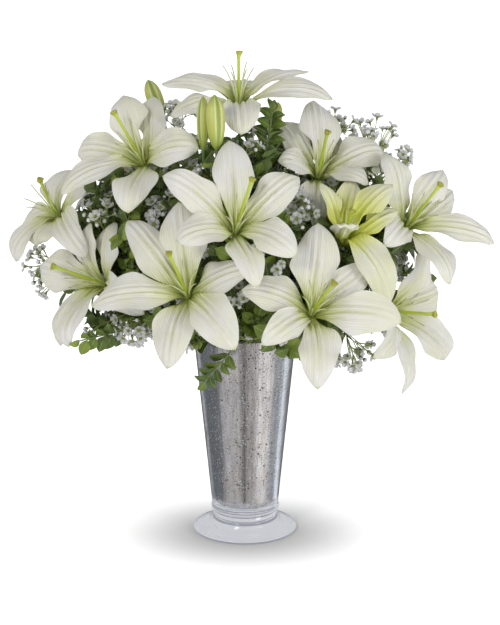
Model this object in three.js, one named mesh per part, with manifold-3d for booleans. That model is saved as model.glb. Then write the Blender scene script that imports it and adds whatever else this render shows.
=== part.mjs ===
// Lilies in a silvered glass vase: a hand-tied dome of open white lilies with waxflower and leafy
// sprigs, standing in water. Millimetres, z up, the vase axis is z and its foot stands on z = 0.
//
// Each bloom is two solids: its six tepals with the cup they grow from, and its pistil with six
// filaments. Each stem, spray and sprig is one solid, with its leaves and florets sunk into its twigs.
import * as THREE from "three";
import Module from "manifold-3d";

const wasm = await Module();
wasm.setup();
const { Manifold, Mesh: SolidMesh } = wasm;

// ---------------------------------------------------------------- driving dimensions

const GAP = 0.3; // clearance kept between pieces that would touch
const KEEP_OFF = 0.5; // least distance from a leaf or floret to anything placed before it
const SEGMENTS = 28; // facets round the vase

const FOOT_RADIUS = 52.5;
const NECK_RADIUS = 31.5;
const NECK_HEIGHT = 21; // groove over the neck, where the cup begins
const CUP_FLOOR = 29; // inside floor of the cup
const CUP_HEIGHT = 215; // rim
const CUP_RADIUS_LOW = 33.6; // outside radius at the floor
const CUP_RADIUS_RIM = 52.6; // outside radius at the rim
const WALL = 3;
const SILVER = 0.6; // thickness of the silver lining
const WATER_LEVEL = 150;
const HOLE_ROOM = 0.65; // by how much the hole for a stem is larger in radius than the stem

const SIGHT_TILT = 15.5; // the dome was laid out looking down at it by this many degrees
const SIGHT_LEVEL = 228; // height on the vase axis that the layout is measured from

const TEPAL_THICK = 1.3; // at the throat; the tip is half of it
const THROAT_RADIUS = 4; // of the ring that the tepals stand on
const ROOT_EVENNESS = 0.8; // 1 spaces the claws evenly, 0 sets each one straight under its tip
const STEM_RADIUS = 2.8;
const PEDICEL_RADIUS = 1.7; // at the fork
const PEDICEL_TOP = 1.4; // under the bloom
const PEDICEL_STRAIGHT = 16; // last length of a pedicel, in line with its bloom
const CUP_LENGTH = 9; // from the throat back to where the cup meets the pedicel
const TWIG_RADIUS = 1.2;
const BUD_RADIUS = 2.4; // of a round bud of the waxflower
const LEAF_THICK = 0.7;
const LEAF_TILT = 0.6; // leaves along a sprig overlap like shingles, tilted in this proportion
const LEAF_WIDTH = 0.62; // of its length, on a sprig
const STEM_LEAF_WIDTH = 0.2; // of its length, on a lily's stem
const FLORET_RADIUS = 5.4;
const FOOT_SHARE = 0.6; // how far out a stem's foot stands, as a share of where it passes the rim
const TWIG_FOOT = 55; // height over the cup's floor that the light stems stand at
const DOME_MIDDLE = [0, 10, 270]; // leaves turn their faces away from here
const SHOOT_STEP = 2.2; // length of twig that one stalk or leaf grows out of
const HEAD_TWIG = 20; // straight end of a twig that carries a head of florets
const STALK_TRIES = [1, 0.72, 1.25]; // shares of its length that are tried for a stalk
const STEM_LEAF_TRIES = [1, 0.8, 0.62]; // and for a leaf of a lily's stem

// ---------------------------------------------------------------- colours

const paint = (color, roughness = 0.6) => new THREE.MeshStandardMaterial({ color, roughness });
const GLASS = paint(0xc9cfdd, 0.1);
const SILVERING = paint(0xb6b2ab, 0.25);
const WATER = paint(0xd9e4e2, 0.05);
const WHITE_TEPAL = paint(0xefede4);
const GREENISH_TEPAL = paint(0xd7dc9f);
const PISTIL = paint(0xb4b94c);
const BUD = paint(0xc4cb55);
const LILY_STEM = paint(0x6f8f3f);
const WAXFLOWER = paint(0xdfe3cf);
const SPRIG = paint(0x4f7032);

const group = new THREE.Group();
group.name = "lilies_in_a_vase";
const placed = []; // every solid so far, for the clearance tests

// ---------------------------------------------------------------- small geometry tools

const vec = (x, y, z) => new THREE.Vector3(x, y, z);
const mix = (a, b, t) => a.clone().lerp(b, t);

// A direction or offset given as right, up and near in the tilted layout, turned into the part's axes.
function seen(right, up, near) {
  const tilt = THREE.MathUtils.degToRad(SIGHT_TILT);
  return vec(
    right,
    up * Math.sin(tilt) - near * Math.cos(tilt),
    up * Math.cos(tilt) + near * Math.sin(tilt),
  );
}

// The same for a place, which is measured from the layout's level on the vase axis.
const seenAt = (right, up, near) => seen(right, up, near).add(vec(0, 0, SIGHT_LEVEL));

// Two directions square to a direction and to each other, the three right-handed.
function squareTo(along) {
  const helper = Math.abs(along.z) < 0.9 ? vec(0, 0, 1) : vec(1, 0, 0);
  const a = helper.cross(along).normalize();
  return [a, along.clone().cross(a)];
}

// A seeded stream of numbers from 0 to 1.
function seeded(seed) {
  let state = seed;
  return () => {
    state = (state + 0x6d2b79f5) | 0;
    let t = Math.imul(state ^ (state >>> 15), 1 | state);
    t = (t + Math.imul(t ^ (t >>> 7), 61 | t)) ^ t;
    return ((t ^ (t >>> 14)) >>> 0) / 4294967296;
  };
}

// A closed triangle list as a solid. Corners closer than a micron or so are the same corner.
function solidOf(points, faces) {
  const keys = new Map();
  const corners = [];
  const same = points.map((p) => {
    const key = p.toArray().map((c) => Math.round(c * 1e3)).join();
    if (!keys.has(key)) {
      keys.set(key, corners.length / 3);
      corners.push(p.x, p.y, p.z);
    }
    return keys.get(key);
  });
  const kept = faces
    .map((f) => f.map((i) => same[i]))
    .filter(([a, b, c]) => a !== b && b !== c && c !== a);
  return new Manifold(
    new SolidMesh({
      numProp: 3,
      vertProperties: new Float32Array(corners),
      triVerts: new Uint32Array(kept.flat()),
    }),
  );
}

// A three.js geometry as a solid.
function solidFrom(geometry) {
  const at = geometry.getAttribute("position");
  const points = [];
  for (let i = 0; i < at.count; i += 1) {
    points.push(new THREE.Vector3().fromBufferAttribute(at, i));
  }
  const index = geometry.index ? [...geometry.index.array] : points.map((_, i) => i);
  const faces = [];
  for (let i = 0; i < index.length; i += 3) {
    faces.push([index[i], index[i + 1], index[i + 2]]);
  }
  return solidOf(points, faces);
}

// A solid back as a three.js geometry, for its mesh.
function geometryOf(solid) {
  const { vertProperties, triVerts } = solid.getMesh();
  const geometry = new THREE.BufferGeometry();
  geometry.setAttribute("position", new THREE.BufferAttribute(vertProperties, 3));
  geometry.setIndex(new THREE.BufferAttribute(triVerts, 1));
  return geometry;
}

// Lets the solids that come later keep clear of this one.
const reserve = (name, solid) => placed.push({ name, solid, box: solid.boundingBox() });

// Puts a finished solid into the group under its node name.
function add(name, solid, material) {
  const mesh = new THREE.Mesh(geometryOf(solid), material);
  mesh.name = name;
  group.add(mesh);
  reserve(name, solid);
}

// Whether two boxes come within a distance of each other.
function near(a, b, distance) {
  return [0, 1, 2].every(
    (k) => a.min[k] - distance < b.max[k] && b.min[k] - distance < a.max[k],
  );
}

// Whether a solid keeps the given distance from everything placed so far, but its own node.
function clear(solid, distance, own) {
  const box = solid.boundingBox();
  return placed.every(
    (p) =>
      p.name === own ||
      !near(box, p.box, distance) ||
      solid.minGap(p.solid, distance * 2) >= distance,
  );
}

// A surface of revolution about z from [radius, height] pairs that run up the outside and close.
function turned(profile) {
  const points = profile.map(([r, z]) => new THREE.Vector2(r, z));
  const lathe = new THREE.LatheGeometry(points, SEGMENTS);
  lathe.rotateX(Math.PI / 2);
  return solidFrom(lathe);
}

// Rings of corners along a path, `sides` to a ring, with a radius for each. Each ring stands across
// the path there, turned as little as possible from the ring before.
function ringsAlong(path, radii, sides) {
  let across = null;
  return path.flatMap((p, i) => {
    const before = path[Math.max(i - 1, 0)];
    const after = path[Math.min(i + 1, path.length - 1)];
    const along = after.clone().sub(before).normalize();
    if (!across) [across] = squareTo(along);
    across = across.clone().addScaledVector(along, -across.dot(along)).normalize();
    const other = along.clone().cross(across);
    return Array.from({ length: sides }, (_, k) => {
      const a = (2 * Math.PI * k) / sides;
      return p
        .clone()
        .addScaledVector(across, radii[i] * Math.cos(a))
        .addScaledVector(other, radii[i] * Math.sin(a));
    });
  });
}

// A rod along a path, closed by flat ends.
function rod(path, radii, sides) {
  const faces = [];
  for (let i = 0; i + 1 < path.length; i += 1) {
    for (let k = 0; k < sides; k += 1) {
      const a = i * sides + k;
      const b = i * sides + ((k + 1) % sides);
      faces.push([a, b, b + sides], [a, b + sides, a + sides]);
    }
  }
  const last = (path.length - 1) * sides;
  for (let k = 1; k + 1 < sides; k += 1) {
    faces.push([0, k + 1, k], [last, last + k, last + k + 1]);
  }
  return solidOf(ringsAlong(path, radii, sides), faces);
}

// The triangles between two rings of corners, given by number, that run the same way round. They
// step along whichever ring is behind; a last ring of one corner or two closes the skin.
function band(p, q) {
  const faces = [];
  const [n, m] = [p.length, q.length];
  let [i, j] = [0, 0];
  while (i < n || j < m) {
    if (j >= m || (i < n && i * m <= j * n)) {
      faces.push([p[i % n], p[(i + 1) % n], q[j % m]]);
      i += 1;
    } else {
      faces.push([p[i % n], q[(j + 1) % m], q[j % m]]);
      j += 1;
    }
  }
  return faces;
}

// Draws a shoot out of a root ring: adds its rings of points one by one, each numbered from the
// corner that lies nearest in direction to the first corner of the ring before.
function drawOut(points, faces, root, rings) {
  const middle = (ring) =>
    ring.reduce((sum, k) => sum.add(points[k]), vec(0, 0, 0)).divideScalar(ring.length);
  let below = root;
  for (const ring of rings) {
    const numbers = ring.map((p) => points.push(p) - 1);
    const along = middle(numbers).sub(middle(below)).normalize();
    const lead = points[below[0]].clone().sub(middle(below));
    lead.addScaledVector(along, -lead.dot(along));
    const score = numbers.map((k) => points[k].clone().sub(middle(numbers)).dot(lead));
    const first = score.indexOf(Math.max(...score));
    const next = [...numbers.slice(first), ...numbers.slice(0, first)];
    faces.push(...band(below, next));
    below = next;
  }
}

// Points along a smooth curve through the given ones, `steps` to a span.
function smooth(knots, steps) {
  const out = [];
  for (let i = 0; i + 1 < knots.length; i += 1) {
    const a = knots[Math.max(i - 1, 0)];
    const b = knots[i];
    const c = knots[i + 1];
    const d = knots[Math.min(i + 2, knots.length - 1)];
    for (let k = 0; k < steps; k += 1) {
      const t = k / steps;
      out.push(
        b
          .clone()
          .multiplyScalar(2)
          .addScaledVector(c.clone().sub(a), t)
          .addScaledVector(
            a.clone().multiplyScalar(2).addScaledVector(b, -5).addScaledVector(c, 4).sub(d),
            t * t,
          )
          .addScaledVector(
            b.clone().multiplyScalar(3).sub(a).addScaledVector(c, -3).add(d),
            t * t * t,
          )
          .multiplyScalar(0.5),
      );
    }
  }
  out.push(knots[knots.length - 1].clone());
  return out;
}

// ---------------------------------------------------------------- vase, silvering and water

const slope = (CUP_RADIUS_RIM - CUP_RADIUS_LOW) / (CUP_HEIGHT - CUP_FLOOR);
const cupRadius = (z) => CUP_RADIUS_LOW + slope * (z - CUP_FLOOR);

const vase = turned([
  [0, 0],
  [FOOT_RADIUS - 1, 0],
  [FOOT_RADIUS, 1.6],
  [FOOT_RADIUS - 0.6, 3.4],
  [FOOT_RADIUS - 8, 6],
  [NECK_RADIUS + 4.5, 9],
  [NECK_RADIUS + 3, 11.5],
  [NECK_RADIUS, 14],
  [NECK_RADIUS, NECK_HEIGHT],
  [NECK_RADIUS + 2.8, 24.5],
  [CUP_RADIUS_LOW, CUP_FLOOR],
  [cupRadius(CUP_HEIGHT - 1), CUP_HEIGHT - 1],
  [CUP_RADIUS_RIM - 0.9, CUP_HEIGHT],
  [CUP_RADIUS_RIM - WALL, CUP_HEIGHT - 0.6],
  [CUP_RADIUS_LOW - WALL, CUP_FLOOR],
  [0, CUP_FLOOR],
]);
add("vase_glass", vase, GLASS);

// The lining stands off the glass by the usual gap and stops 5 mm under the rim.
const liningTop = CUP_HEIGHT - 5;
const liningOut = WALL + GAP;
const liningFloor = CUP_FLOOR + GAP;
const lining = turned([
  [0, liningFloor],
  [cupRadius(liningFloor) - liningOut, liningFloor],
  [cupRadius(liningTop) - liningOut, liningTop],
  [cupRadius(liningTop) - liningOut - SILVER, liningTop],
  [cupRadius(liningFloor) - liningOut - SILVER, liningFloor + SILVER],
  [0, liningFloor + SILVER],
]);
add("vase_silvering", lining, SILVERING);

const waterOut = liningOut + SILVER + GAP + 0.1;
const waterFloor = liningFloor + SILVER + GAP;
let water = turned([
  [0, waterFloor],
  [cupRadius(waterFloor) - waterOut, waterFloor],
  [cupRadius(WATER_LEVEL) - waterOut, WATER_LEVEL],
  [0, WATER_LEVEL],
]);

// ---------------------------------------------------------------- the six tepals of a bloom

// Width of a tepal along its length, v from 0 at the claw to 1 at the tip, as a share of its widest.
function spread(v) {
  return 0.06 * (1 - v) ** 3 + Math.max(Math.sin(Math.PI * v ** 1.12), 0) ** 0.95;
}

// The midrib is a Bezier curve: out of the throat, nearly along the bloom's axis, then over and
// down to the tip. The blade is swept along it, hollow near the claw, turned down a little at its
// outer edges, with a groove down the middle. An inner tepal climbs more steeply than an outer
// one, so where the tepals are wide it lies over its neighbours; low down each keeps to its share.
function blade(bloom, petal) {
  const { throat, faces, rows } = bloom;
  const { offset, rootOut, out, width, droop, outer, halfGaps } = petal;
  const length = offset.length();
  const root = throat.clone().addScaledVector(rootOut, THROAT_RADIUS);
  const end = throat.clone().add(offset);
  const lift = faces
    .clone()
    .multiplyScalar(outer ? 0.66 : 0.84)
    .addScaledVector(rootOut, outer ? 0.62 : 0.44);
  const arrive = out
    .clone()
    .multiplyScalar(Math.cos(droop))
    .addScaledVector(faces, -Math.sin(droop));
  const rib = new THREE.CubicBezierCurve3(
    root,
    root.clone().addScaledVector(lift, length * 0.34),
    end.clone().addScaledVector(arrive, -length * 0.4),
    end,
  );
  const acrossAt = (v) => faces.clone().cross(mix(rootOut, out, v)).normalize();
  const stations = rows === 5 ? [0.17, 0.4, 0.66, 0.87] : [0.2, 0.5, 0.82];
  const lines = stations.map((v) => {
    const middle = rib.getPoint(v);
    const along = rib.getTangent(v);
    const up = along.clone().cross(acrossAt(v)).normalize();
    const side = up.clone().cross(along);
    const fromAxis = middle.clone().sub(throat);
    fromAxis.addScaledVector(faces, -fromAxis.dot(faces));
    const share = v < 0.3 ? 0.75 : 1;
    const full = (spread(v) * width) / 2;
    const thick = TEPAL_THICK * (1 - 0.5 * v);
    const hollow = (outer ? 0.1 : 0.5) * (1 - v) ** 2 - 0.2 * v;
    const groove = 0.9 * Math.sin(Math.PI * v ** 0.7);
    return [-1, -0.5, 0, 0.5, 1].map((s) => {
      const room = fromAxis.length() * Math.tan(halfGaps[s < 0 ? 0 : 1]) * share;
      const half = v < 0.45 ? Math.min(full, room) : full;
      const top = middle
        .clone()
        .addScaledVector(side, s * half)
        .addScaledVector(up, half * hollow * s * s - (s === 0 ? groove : 0));
      return [top, top.clone().addScaledVector(up, -thick)];
    });
  });
  const tipUp = rib.getTangent(1).cross(acrossAt(1)).normalize();
  return { lines, tip: [end, end.clone().addScaledVector(tipUp, -TEPAL_THICK / 2)] };
}

// All six tepals of a bloom are one skin: they share a small ring round the floor of the throat,
// part from each other just above it, and the ring's outside runs down in a cone to the pedicel.
// The claws stand nearly even round the ring even where the tips have grown sideways.
function corolla(bloom, tips) {
  const { throat, faces, side: right, base } = bloom;
  const up = faces.clone().cross(right);
  const turn = 2 * Math.PI;
  const away = (a) => right.clone().multiplyScalar(Math.cos(a)).addScaledVector(up, Math.sin(a));
  const petals = tips.map((tip, k) => {
    const flat = tip.offset.clone().addScaledVector(faces, -tip.offset.dot(faces));
    return {
      ...tip,
      out: flat.clone().normalize(),
      angle: Math.atan2(flat.dot(up), flat.dot(right)),
      outer: k % 2 === 1,
    };
  });
  petals.sort((a, b) => a.angle - b.angle);
  const start = petals.reduce((sum, p, k) => sum + p.angle - (turn * k) / 6, 0) / 6;
  petals.forEach((p, k) => {
    p.rootAngle = p.angle + ROOT_EVENNESS * (start + (turn * k) / 6 - p.angle);
    p.rootOut = away(p.rootAngle);
  });
  petals.forEach((p, k) => {
    const gap = (a, b) => (b.rootAngle - a.rootAngle + turn) % turn;
    p.halfGaps = [gap(petals[(k + 5) % 6], p) / 2, gap(p, petals[(k + 1) % 6]) / 2];
  });

  const points = [];
  const faceList = [];
  const quad = (a, b, c, d) => faceList.push([a, b, c], [a, c, d]);
  petals.forEach((petal) => {
    const [before, after] = petal.halfGaps;
    for (let c = 0; c < 4; c += 1) {
      const outwards = away(petal.rootAngle - before + ((before + after) * c) / 4);
      points.push(
        throat.clone().addScaledVector(outwards, THROAT_RADIUS),
        throat.clone().addScaledVector(outwards, THROAT_RADIUS + TEPAL_THICK),
      );
    }
  });
  const ring = (i, under) => (i % 24) * 2 + under;
  const apex = points.push(base) - 1;
  for (let i = 0; i < 24; i += 1) {
    if (i > 0 && i < 23) faceList.push([ring(0, 0), ring(i, 0), ring(i + 1, 0)]);
    faceList.push([ring(i, 1), apex, ring(i + 1, 1)]);
  }
  petals.forEach((petal, k) => {
    const { lines, tip } = blade(bloom, petal);
    const first = points.length;
    lines.flat().forEach(([top, under]) => points.push(top, under));
    const tipTop = points.push(...tip) - 2;
    const rows = lines.length;
    const at = (r, c, under) =>
      r === 0 ? ring(4 * k + c, under) : first + ((r - 1) * 5 + c) * 2 + under;
    for (let r = 0; r < rows; r += 1) {
      for (let c = 0; c < 4; c += 1) {
        quad(at(r, c, 0), at(r + 1, c, 0), at(r + 1, c + 1, 0), at(r, c + 1, 0));
        faceList.push([at(r, c, 1), at(r + 1, c + 1, 1), at(r + 1, c, 1)]);
        faceList.push([at(r, c, 1), at(r, c + 1, 1), at(r + 1, c + 1, 1)]);
      }
      quad(at(r, 0, 0), at(r, 0, 1), at(r + 1, 0, 1), at(r + 1, 0, 0));
      quad(at(r, 4, 0), at(r + 1, 4, 0), at(r + 1, 4, 1), at(r, 4, 1));
    }
    for (let c = 0; c < 4; c += 1) {
      faceList.push([at(rows, c, 0), tipTop, at(rows, c + 1, 0)]);
      faceList.push([at(rows, c, 1), at(rows, c + 1, 1), tipTop + 1]);
    }
    quad(at(rows, 0, 0), at(rows, 0, 1), tipTop + 1, tipTop);
    quad(tipTop, tipTop + 1, at(rows, 4, 1), at(rows, 4, 0));
  });
  return solidOf(points, faceList);
}

// ---------------------------------------------------------------- blooms

// throat: right, up, near from the layout's level. faces: where the bloom looks. pistil: its tip
// from the throat. tips: each tepal's tip from the throat, its greatest width and, where it
// isn't 35 degrees, how steeply the tip turns down. The tepals alternate inner and outer.
const BLOOMS = [
  {
    name: "lily_top",
    throat: [-6, 201, 50],
    faces: [0, 0.93, 0.36],
    pistil: [0, 52, 12],
    tips: [
      [-76, 24, 8, 32, 10],
      [-67, -10, 22, 30],
      [3, -30, 50, 38, 60],
      [93, 8, 12, 34],
      [69, 39, -16, 28, 5],
      [4, 30, -62, 40],
    ],
  },
  {
    name: "lily_upper_left",
    throat: [-99, 145, 60],
    faces: [-0.22, 0.55, 0.8],
    pistil: [-27, 48, 25],
    tips: [
      [-80, -31, 34, 34],
      [-67, 9, -10, 38, 60],
      [-21, 70, -14, 40, 20],
      [8, 70, -24, 34, 20],
      [56, 12, 36, 38, 45],
      [-12, -51, 52, 38, 55],
    ],
  },
  {
    name: "lily_centre",
    throat: [-9, 76, 122],
    faces: [0.08, 0.5, 0.86],
    pistil: [16, 49, 28],
    tips: [
      [-56, -9, 44, 40],
      [-70, 54, 12, 34],
      [-6, 90, -12, 40, 20],
      [62, 54, 2, 38],
      [58, -24, 44, 38],
      [21, -53, 50, 30],
    ],
  },
  {
    name: "lily_front_left",
    throat: [-54, 15, 118],
    faces: [-0.12, 0.42, 0.9],
    pistil: [-17, 40, 38],
    tips: [
      [-92, -7, 26, 44],
      [-60, 75, -24, 34],
      [-10, 92, -6, 44, 20],
      [60, 28, 10, 34],
      [46, -50, 58, 42],
      [-19, -68, 50, 40],
    ],
  },
  {
    name: "lily_front_right",
    throat: [63, -2, 122],
    faces: [0.15, 0.4, 0.9],
    pistil: [20, 29, 46],
    tips: [
      [-47, -29, 54, 30],
      [-67, 25, 26, 40],
      [7, 89, -8, 44, 20],
      [60, 46, -10, 32],
      [86, -8, 20, 42],
      [5, -70, 52, 38],
    ],
  },
  {
    name: "lily_right",
    throat: [159, 84, 50],
    faces: [0.35, 0.45, 0.82],
    pistil: [30, 40, 28],
    tips: [
      [-25, -21, 56, 30],
      [-22, 74, 0, 36],
      [37, 58, -14, 34, 15],
      [48, 38, -24, 34, 25],
      [87, -16, 2, 30],
      [40, -58, 46, 38, 50],
    ],
  },
  {
    name: "lily_upper_right",
    throat: [72, 133, 35],
    faces: [0.12, 0.6, 0.79],
    pistil: [8, 42, 34],
    tips: [
      [-41, 16, 28, 32],
      [-38, 58, -20, 32],
      [-3, 80, -22, 40, 15],
      [67, 25, -6, 40, 55],
      [50, -8, 36, 32],
      [-5, -50, 36, 34],
    ],
  },
  {
    name: "lily_left",
    throat: [-137, 27, 50],
    faces: [-0.62, 0.28, 0.73],
    pistil: [-49, 18, 22],
    tips: [
      [-33, -62, 40, 28, 60],
      [-67, 20, -16, 44, 20],
      [-18, 62, -8, 30],
      [9, 64, -2, 32],
      [40, -30, 55, 30],
      [-46, -61, 0, 30, 60],
    ],
  },
  {
    name: "lily_far_left",
    throat: [-185, 95, 5],
    faces: [-0.5, 0.5, 0.7],
    pistil: [-16, 35, 40],
    tips: [
      [-44, -46, 12, 30, 70],
      [-42, -14, -22, 30, 50],
      [15, 50, -16, 36],
      [42, 50, -8, 32],
      [32, -42, 62, 28, 60],
      [-22, -30, 20, 30, 60],
    ],
  },
  {
    name: "lily_lower_right",
    throat: [137, 1, 45],
    faces: [0.8, 0.05, 0.6],
    pistil: [47, -3, 30],
    tips: [
      [-14, -46, 64, 30, 50],
      [-12, 40, 62, 30],
      [40, 64, 0, 34],
      [56, 24, -34, 38],
      [61, -50, -14, 36, 45],
      [18, -82, 14, 26, 45],
    ],
  },
  {
    name: "lily_half_open",
    throat: [96, 70, 88],
    faces: [0.12, 0.72, 0.68],
    pistil: [6, 26, 24],
    material: GREENISH_TEPAL,
    tips: [
      [-22, 56, 6, 26, -10],
      [10, 62, -20, 30, -10],
      [46, 55, 6, 34, -5],
      [52, 30, 2, 28, 0],
      [42, -64, 34, 38, 70],
      [2, 8, 42, 24, 60],
    ],
  },
  { name: "lily_back_left", place: [-100, 92, 322], turn: 136, lean: 52, size: 82 },
  { name: "lily_back_right", place: [92, 100, 326], turn: 46, lean: 52, size: 84 },
  { name: "lily_back_low", place: [-4, 128, 268], turn: 92, lean: 68, size: 86 },
];

// A bloom at the back is laid out by rule: it looks out at an azimuth (turn) and leans from
// upright, with six even tepals that bend back a little.
function plainBloom(data) {
  const turn = THREE.MathUtils.degToRad(data.turn);
  const lean = THREE.MathUtils.degToRad(data.lean);
  const faces = vec(
    Math.cos(turn) * Math.sin(lean),
    Math.sin(turn) * Math.sin(lean),
    Math.cos(lean),
  );
  const side = faces.clone().cross(vec(0, 0, 1)).normalize();
  const up = side.clone().cross(faces);
  const tips = [];
  for (let k = 0; k < 6; k += 1) {
    const a = THREE.MathUtils.degToRad(60 * k + 30);
    const reach = data.size * (k % 2 ? 0.86 : 0.9);
    const offset = side
      .clone()
      .multiplyScalar(Math.cos(a) * reach)
      .addScaledVector(up, Math.sin(a) * reach)
      .addScaledVector(faces, data.size * 0.4);
    tips.push({ offset, width: k % 2 ? 30 : 40, droop: Math.PI / 5 });
  }
  const reach = faces.clone().multiplyScalar(0.66).addScaledVector(up, 0.14).multiplyScalar(data.size);
  return { throat: vec(...data.place), faces, reach, tips, rows: 4 };
}

// The pistil and the six filaments, one closed skin on a six-sided foot a millimetre clear of the
// throat's floor. The style rises from the middle of the foot and passes midway between two
// filaments as it bends aside; each filament is drawn out of the three-cornered patch between two
// corners of the foot and one of the style.
function pistil({ throat, faces, reach }) {
  const side = reach.clone().addScaledVector(faces, -reach.dot(faces)).normalize();
  const up = faces.clone().cross(side);
  const top = throat.clone().add(reach);
  const start = throat.clone().addScaledVector(faces, 2.4);
  const bend = mix(start, top, 0.5).addScaledVector(faces, reach.length() * 0.06);
  const axis = top.clone().sub(bend).normalize();
  const ring = (middle, radius, half) =>
    Array.from({ length: 6 }, (_, k) => {
      const a = (Math.PI / 3) * (k + half);
      return middle
        .clone()
        .addScaledVector(side, radius * Math.cos(a))
        .addScaledVector(up, radius * Math.sin(a));
    });
  const rings = [
    ring(throat.clone().addScaledVector(faces, 1.3), 2.6, 0),
    ring(start, 2.6, 0),
    ring(start, 1.5, 0.5),
    ring(bend, 1.3, 0.5),
    ring(top.clone().addScaledVector(axis, -2.5), 1.4, 0.5),
    ring(top, 3.4, 0.5),
    ring(top.clone().addScaledVector(axis, 2), 2.2, 0.5),
  ];
  const points = rings.flat();
  const faceList = [];
  const quad = (a, b, c, d) => faceList.push([a, b, c], [a, c, d]);
  const last = (rings.length - 1) * 6;
  for (let k = 0; k < 6; k += 1) {
    const next = (k + 1) % 6;
    if (k > 0 && k < 5) faceList.push([0, k + 1, k], [last, last + k, last + k + 1]);
    for (const r of [0, 12, 18, 24, 30]) quad(r + k, r + next, r + 6 + next, r + 6 + k);
    faceList.push([6 + next, 12 + next, 12 + k]);

    const a = (Math.PI / 3) * (k + 0.5);
    const long = reach.length() * (k % 2 ? 0.84 : 0.78);
    const away = side.clone().multiplyScalar(Math.cos(a)).addScaledVector(up, Math.sin(a));
    const tip = start
      .clone()
      .addScaledVector(faces, long * 0.9)
      .addScaledVector(away, long * 0.36);
    const across = faces.clone().cross(away);
    const first = points.push(
      tip.clone().addScaledVector(across, -0.55).addScaledVector(away, 0.3),
      tip.clone().addScaledVector(across, 0.55).addScaledVector(away, 0.3),
      tip.clone().addScaledVector(away, -0.5),
    ) - 3;
    const patch = [6 + k, 6 + next, 12 + k];
    for (let c = 0; c < 3; c += 1) {
      const d = (c + 1) % 3;
      quad(patch[c], patch[d], first + d, first + c);
    }
    faceList.push([first, first + 1, first + 2]);
  }
  return solidOf(points, faceList);
}

const blooms = new Map();
for (const data of BLOOMS) {
  let bloom;
  if (data.place) {
    bloom = plainBloom(data);
  } else {
    bloom = {
      throat: seenAt(...data.throat),
      faces: seen(...data.faces).normalize(),
      reach: seen(...data.pistil),
      tips: data.tips.map(([right, up, near, width, droop = 35]) => ({
        offset: seen(right, up, near),
        width,
        droop: THREE.MathUtils.degToRad(droop),
      })),
      rows: 5,
    };
  }
  const { throat, faces, reach } = bloom;
  bloom.side = faces.clone().cross(vec(0.3, 0.2, 0.9)).normalize();
  bloom.base = throat.clone().addScaledVector(faces, -CUP_LENGTH);
  add(data.name + "_tepals", corolla(bloom, bloom.tips), data.material ?? WHITE_TEPAL);

  add(data.name + "_pistil", pistil(bloom), PISTIL);
  blooms.set(data.name, bloom);
}

// ---------------------------------------------------------------- closed buds

// base and tip: right, up, near from the layout's level. girth: widest across.
const BUDS = [
  { name: "bud_far_left", base: [-82, 192, 10], tip: [-97, 232, 5], girth: 17 },
  { name: "bud_left", base: [-40, 156, 92], tip: [-40, 208, 90], girth: 13 },
  { name: "bud_centre_left", base: [-27, 155, 108], tip: [-29, 208, 108], girth: 19 },
  { name: "bud_back", base: [26, 176, -52], tip: [34, 216, -66], girth: 16 },
];

for (const data of BUDS) {
  const base = seenAt(...data.base);
  const tip = seenAt(...data.tip);
  const shape = [
    [0, 0.2],
    [0.12, 0.62],
    [0.38, 0.94],
    [0.66, 1],
    [0.88, 0.66],
    [1, 0.16],
  ];
  const path = shape.map(([t]) => mix(base, tip, t));
  const radii = shape.map(([, r]) => (r * data.girth) / 2);
  add(data.name, rod(path, radii, 6), BUD);
  blooms.set(data.name, { base, faces: tip.clone().sub(base).normalize() });
}

// ---------------------------------------------------------------- stems in the vase

// A stem stands in the water leaning outwards: its foot is nearer the axis than where it passes
// the rim, and all stems lean in the same proportion, so none can meet inside the vase.
const holes = [];

function standing(rim, depth, radius, sides) {
  const at = vec(rim[0], rim[1], CUP_HEIGHT);
  const foot = vec(rim[0] * FOOT_SHARE, rim[1] * FOOT_SHARE, CUP_FLOOR + depth);
  const below = foot.clone().addScaledVector(at.clone().sub(foot).normalize(), -0.5);
  const over = mix(foot, at, (WATER_LEVEL + 8 - foot.z) / (at.z - foot.z));
  holes.push(rod([below, over], [radius + HOLE_ROOM, radius + HOLE_ROOM], sides));
  return [foot, at];
}

// The rings of a leaf from its root to its tip: a thin ovate blade, bowed along its length, that
// turns its upper face the way `up` does.
function leafRings(root, towards, up, length, width, curl) {
  const face = up.clone().addScaledVector(towards, -up.dot(towards)).normalize();
  const side = face.clone().cross(towards);
  const at = (along, half, rise) => {
    const middle = root.clone().addScaledVector(towards, length * along).addScaledVector(face, rise);
    return [
      [1, -LEAF_THICK],
      [1, 0],
      [-1, 0],
      [-1, -LEAF_THICK],
    ].map(([s, f]) => middle.clone().addScaledVector(side, s * half).addScaledVector(face, f));
  };
  const tip = root.clone().addScaledVector(towards, length).addScaledVector(face, -curl);
  return [
    at(0.37, width * 0.42, curl),
    at(0.7, width * 0.38, curl),
    [tip, tip.clone().addScaledVector(face, -LEAF_THICK)],
  ];
}

// The rings of a floret's stalk: it widens at its end into a shallow five-pointed flower or a
// round bud.
function stalkRings(root, end, bud) {
  const along = end.clone().sub(root).normalize();
  const [a, b] = squareTo(along);
  const ring = (back, radii, lift = 0) =>
    radii.map((r, k) => {
      const t = (2 * Math.PI * k) / radii.length;
      return end
        .clone()
        .addScaledVector(a, r * Math.cos(t))
        .addScaledVector(b, r * Math.sin(t))
        .addScaledVector(along, (k % 2 ? 0 : lift) - back);
    });
  const neck = [0.6, 0.6, 0.6];
  if (bud) return [ring(2.2, neck), ring(0, Array(4).fill(BUD_RADIUS)), ring(-BUD_RADIUS, [0])];
  const star = Array.from({ length: 10 }, (_, k) => (k % 2 ? 0.5 : 1) * FLORET_RADIUS);
  return [ring(3, neck), ring(0, star, 1.2), ring(-0.3, [0])];
}

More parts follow.
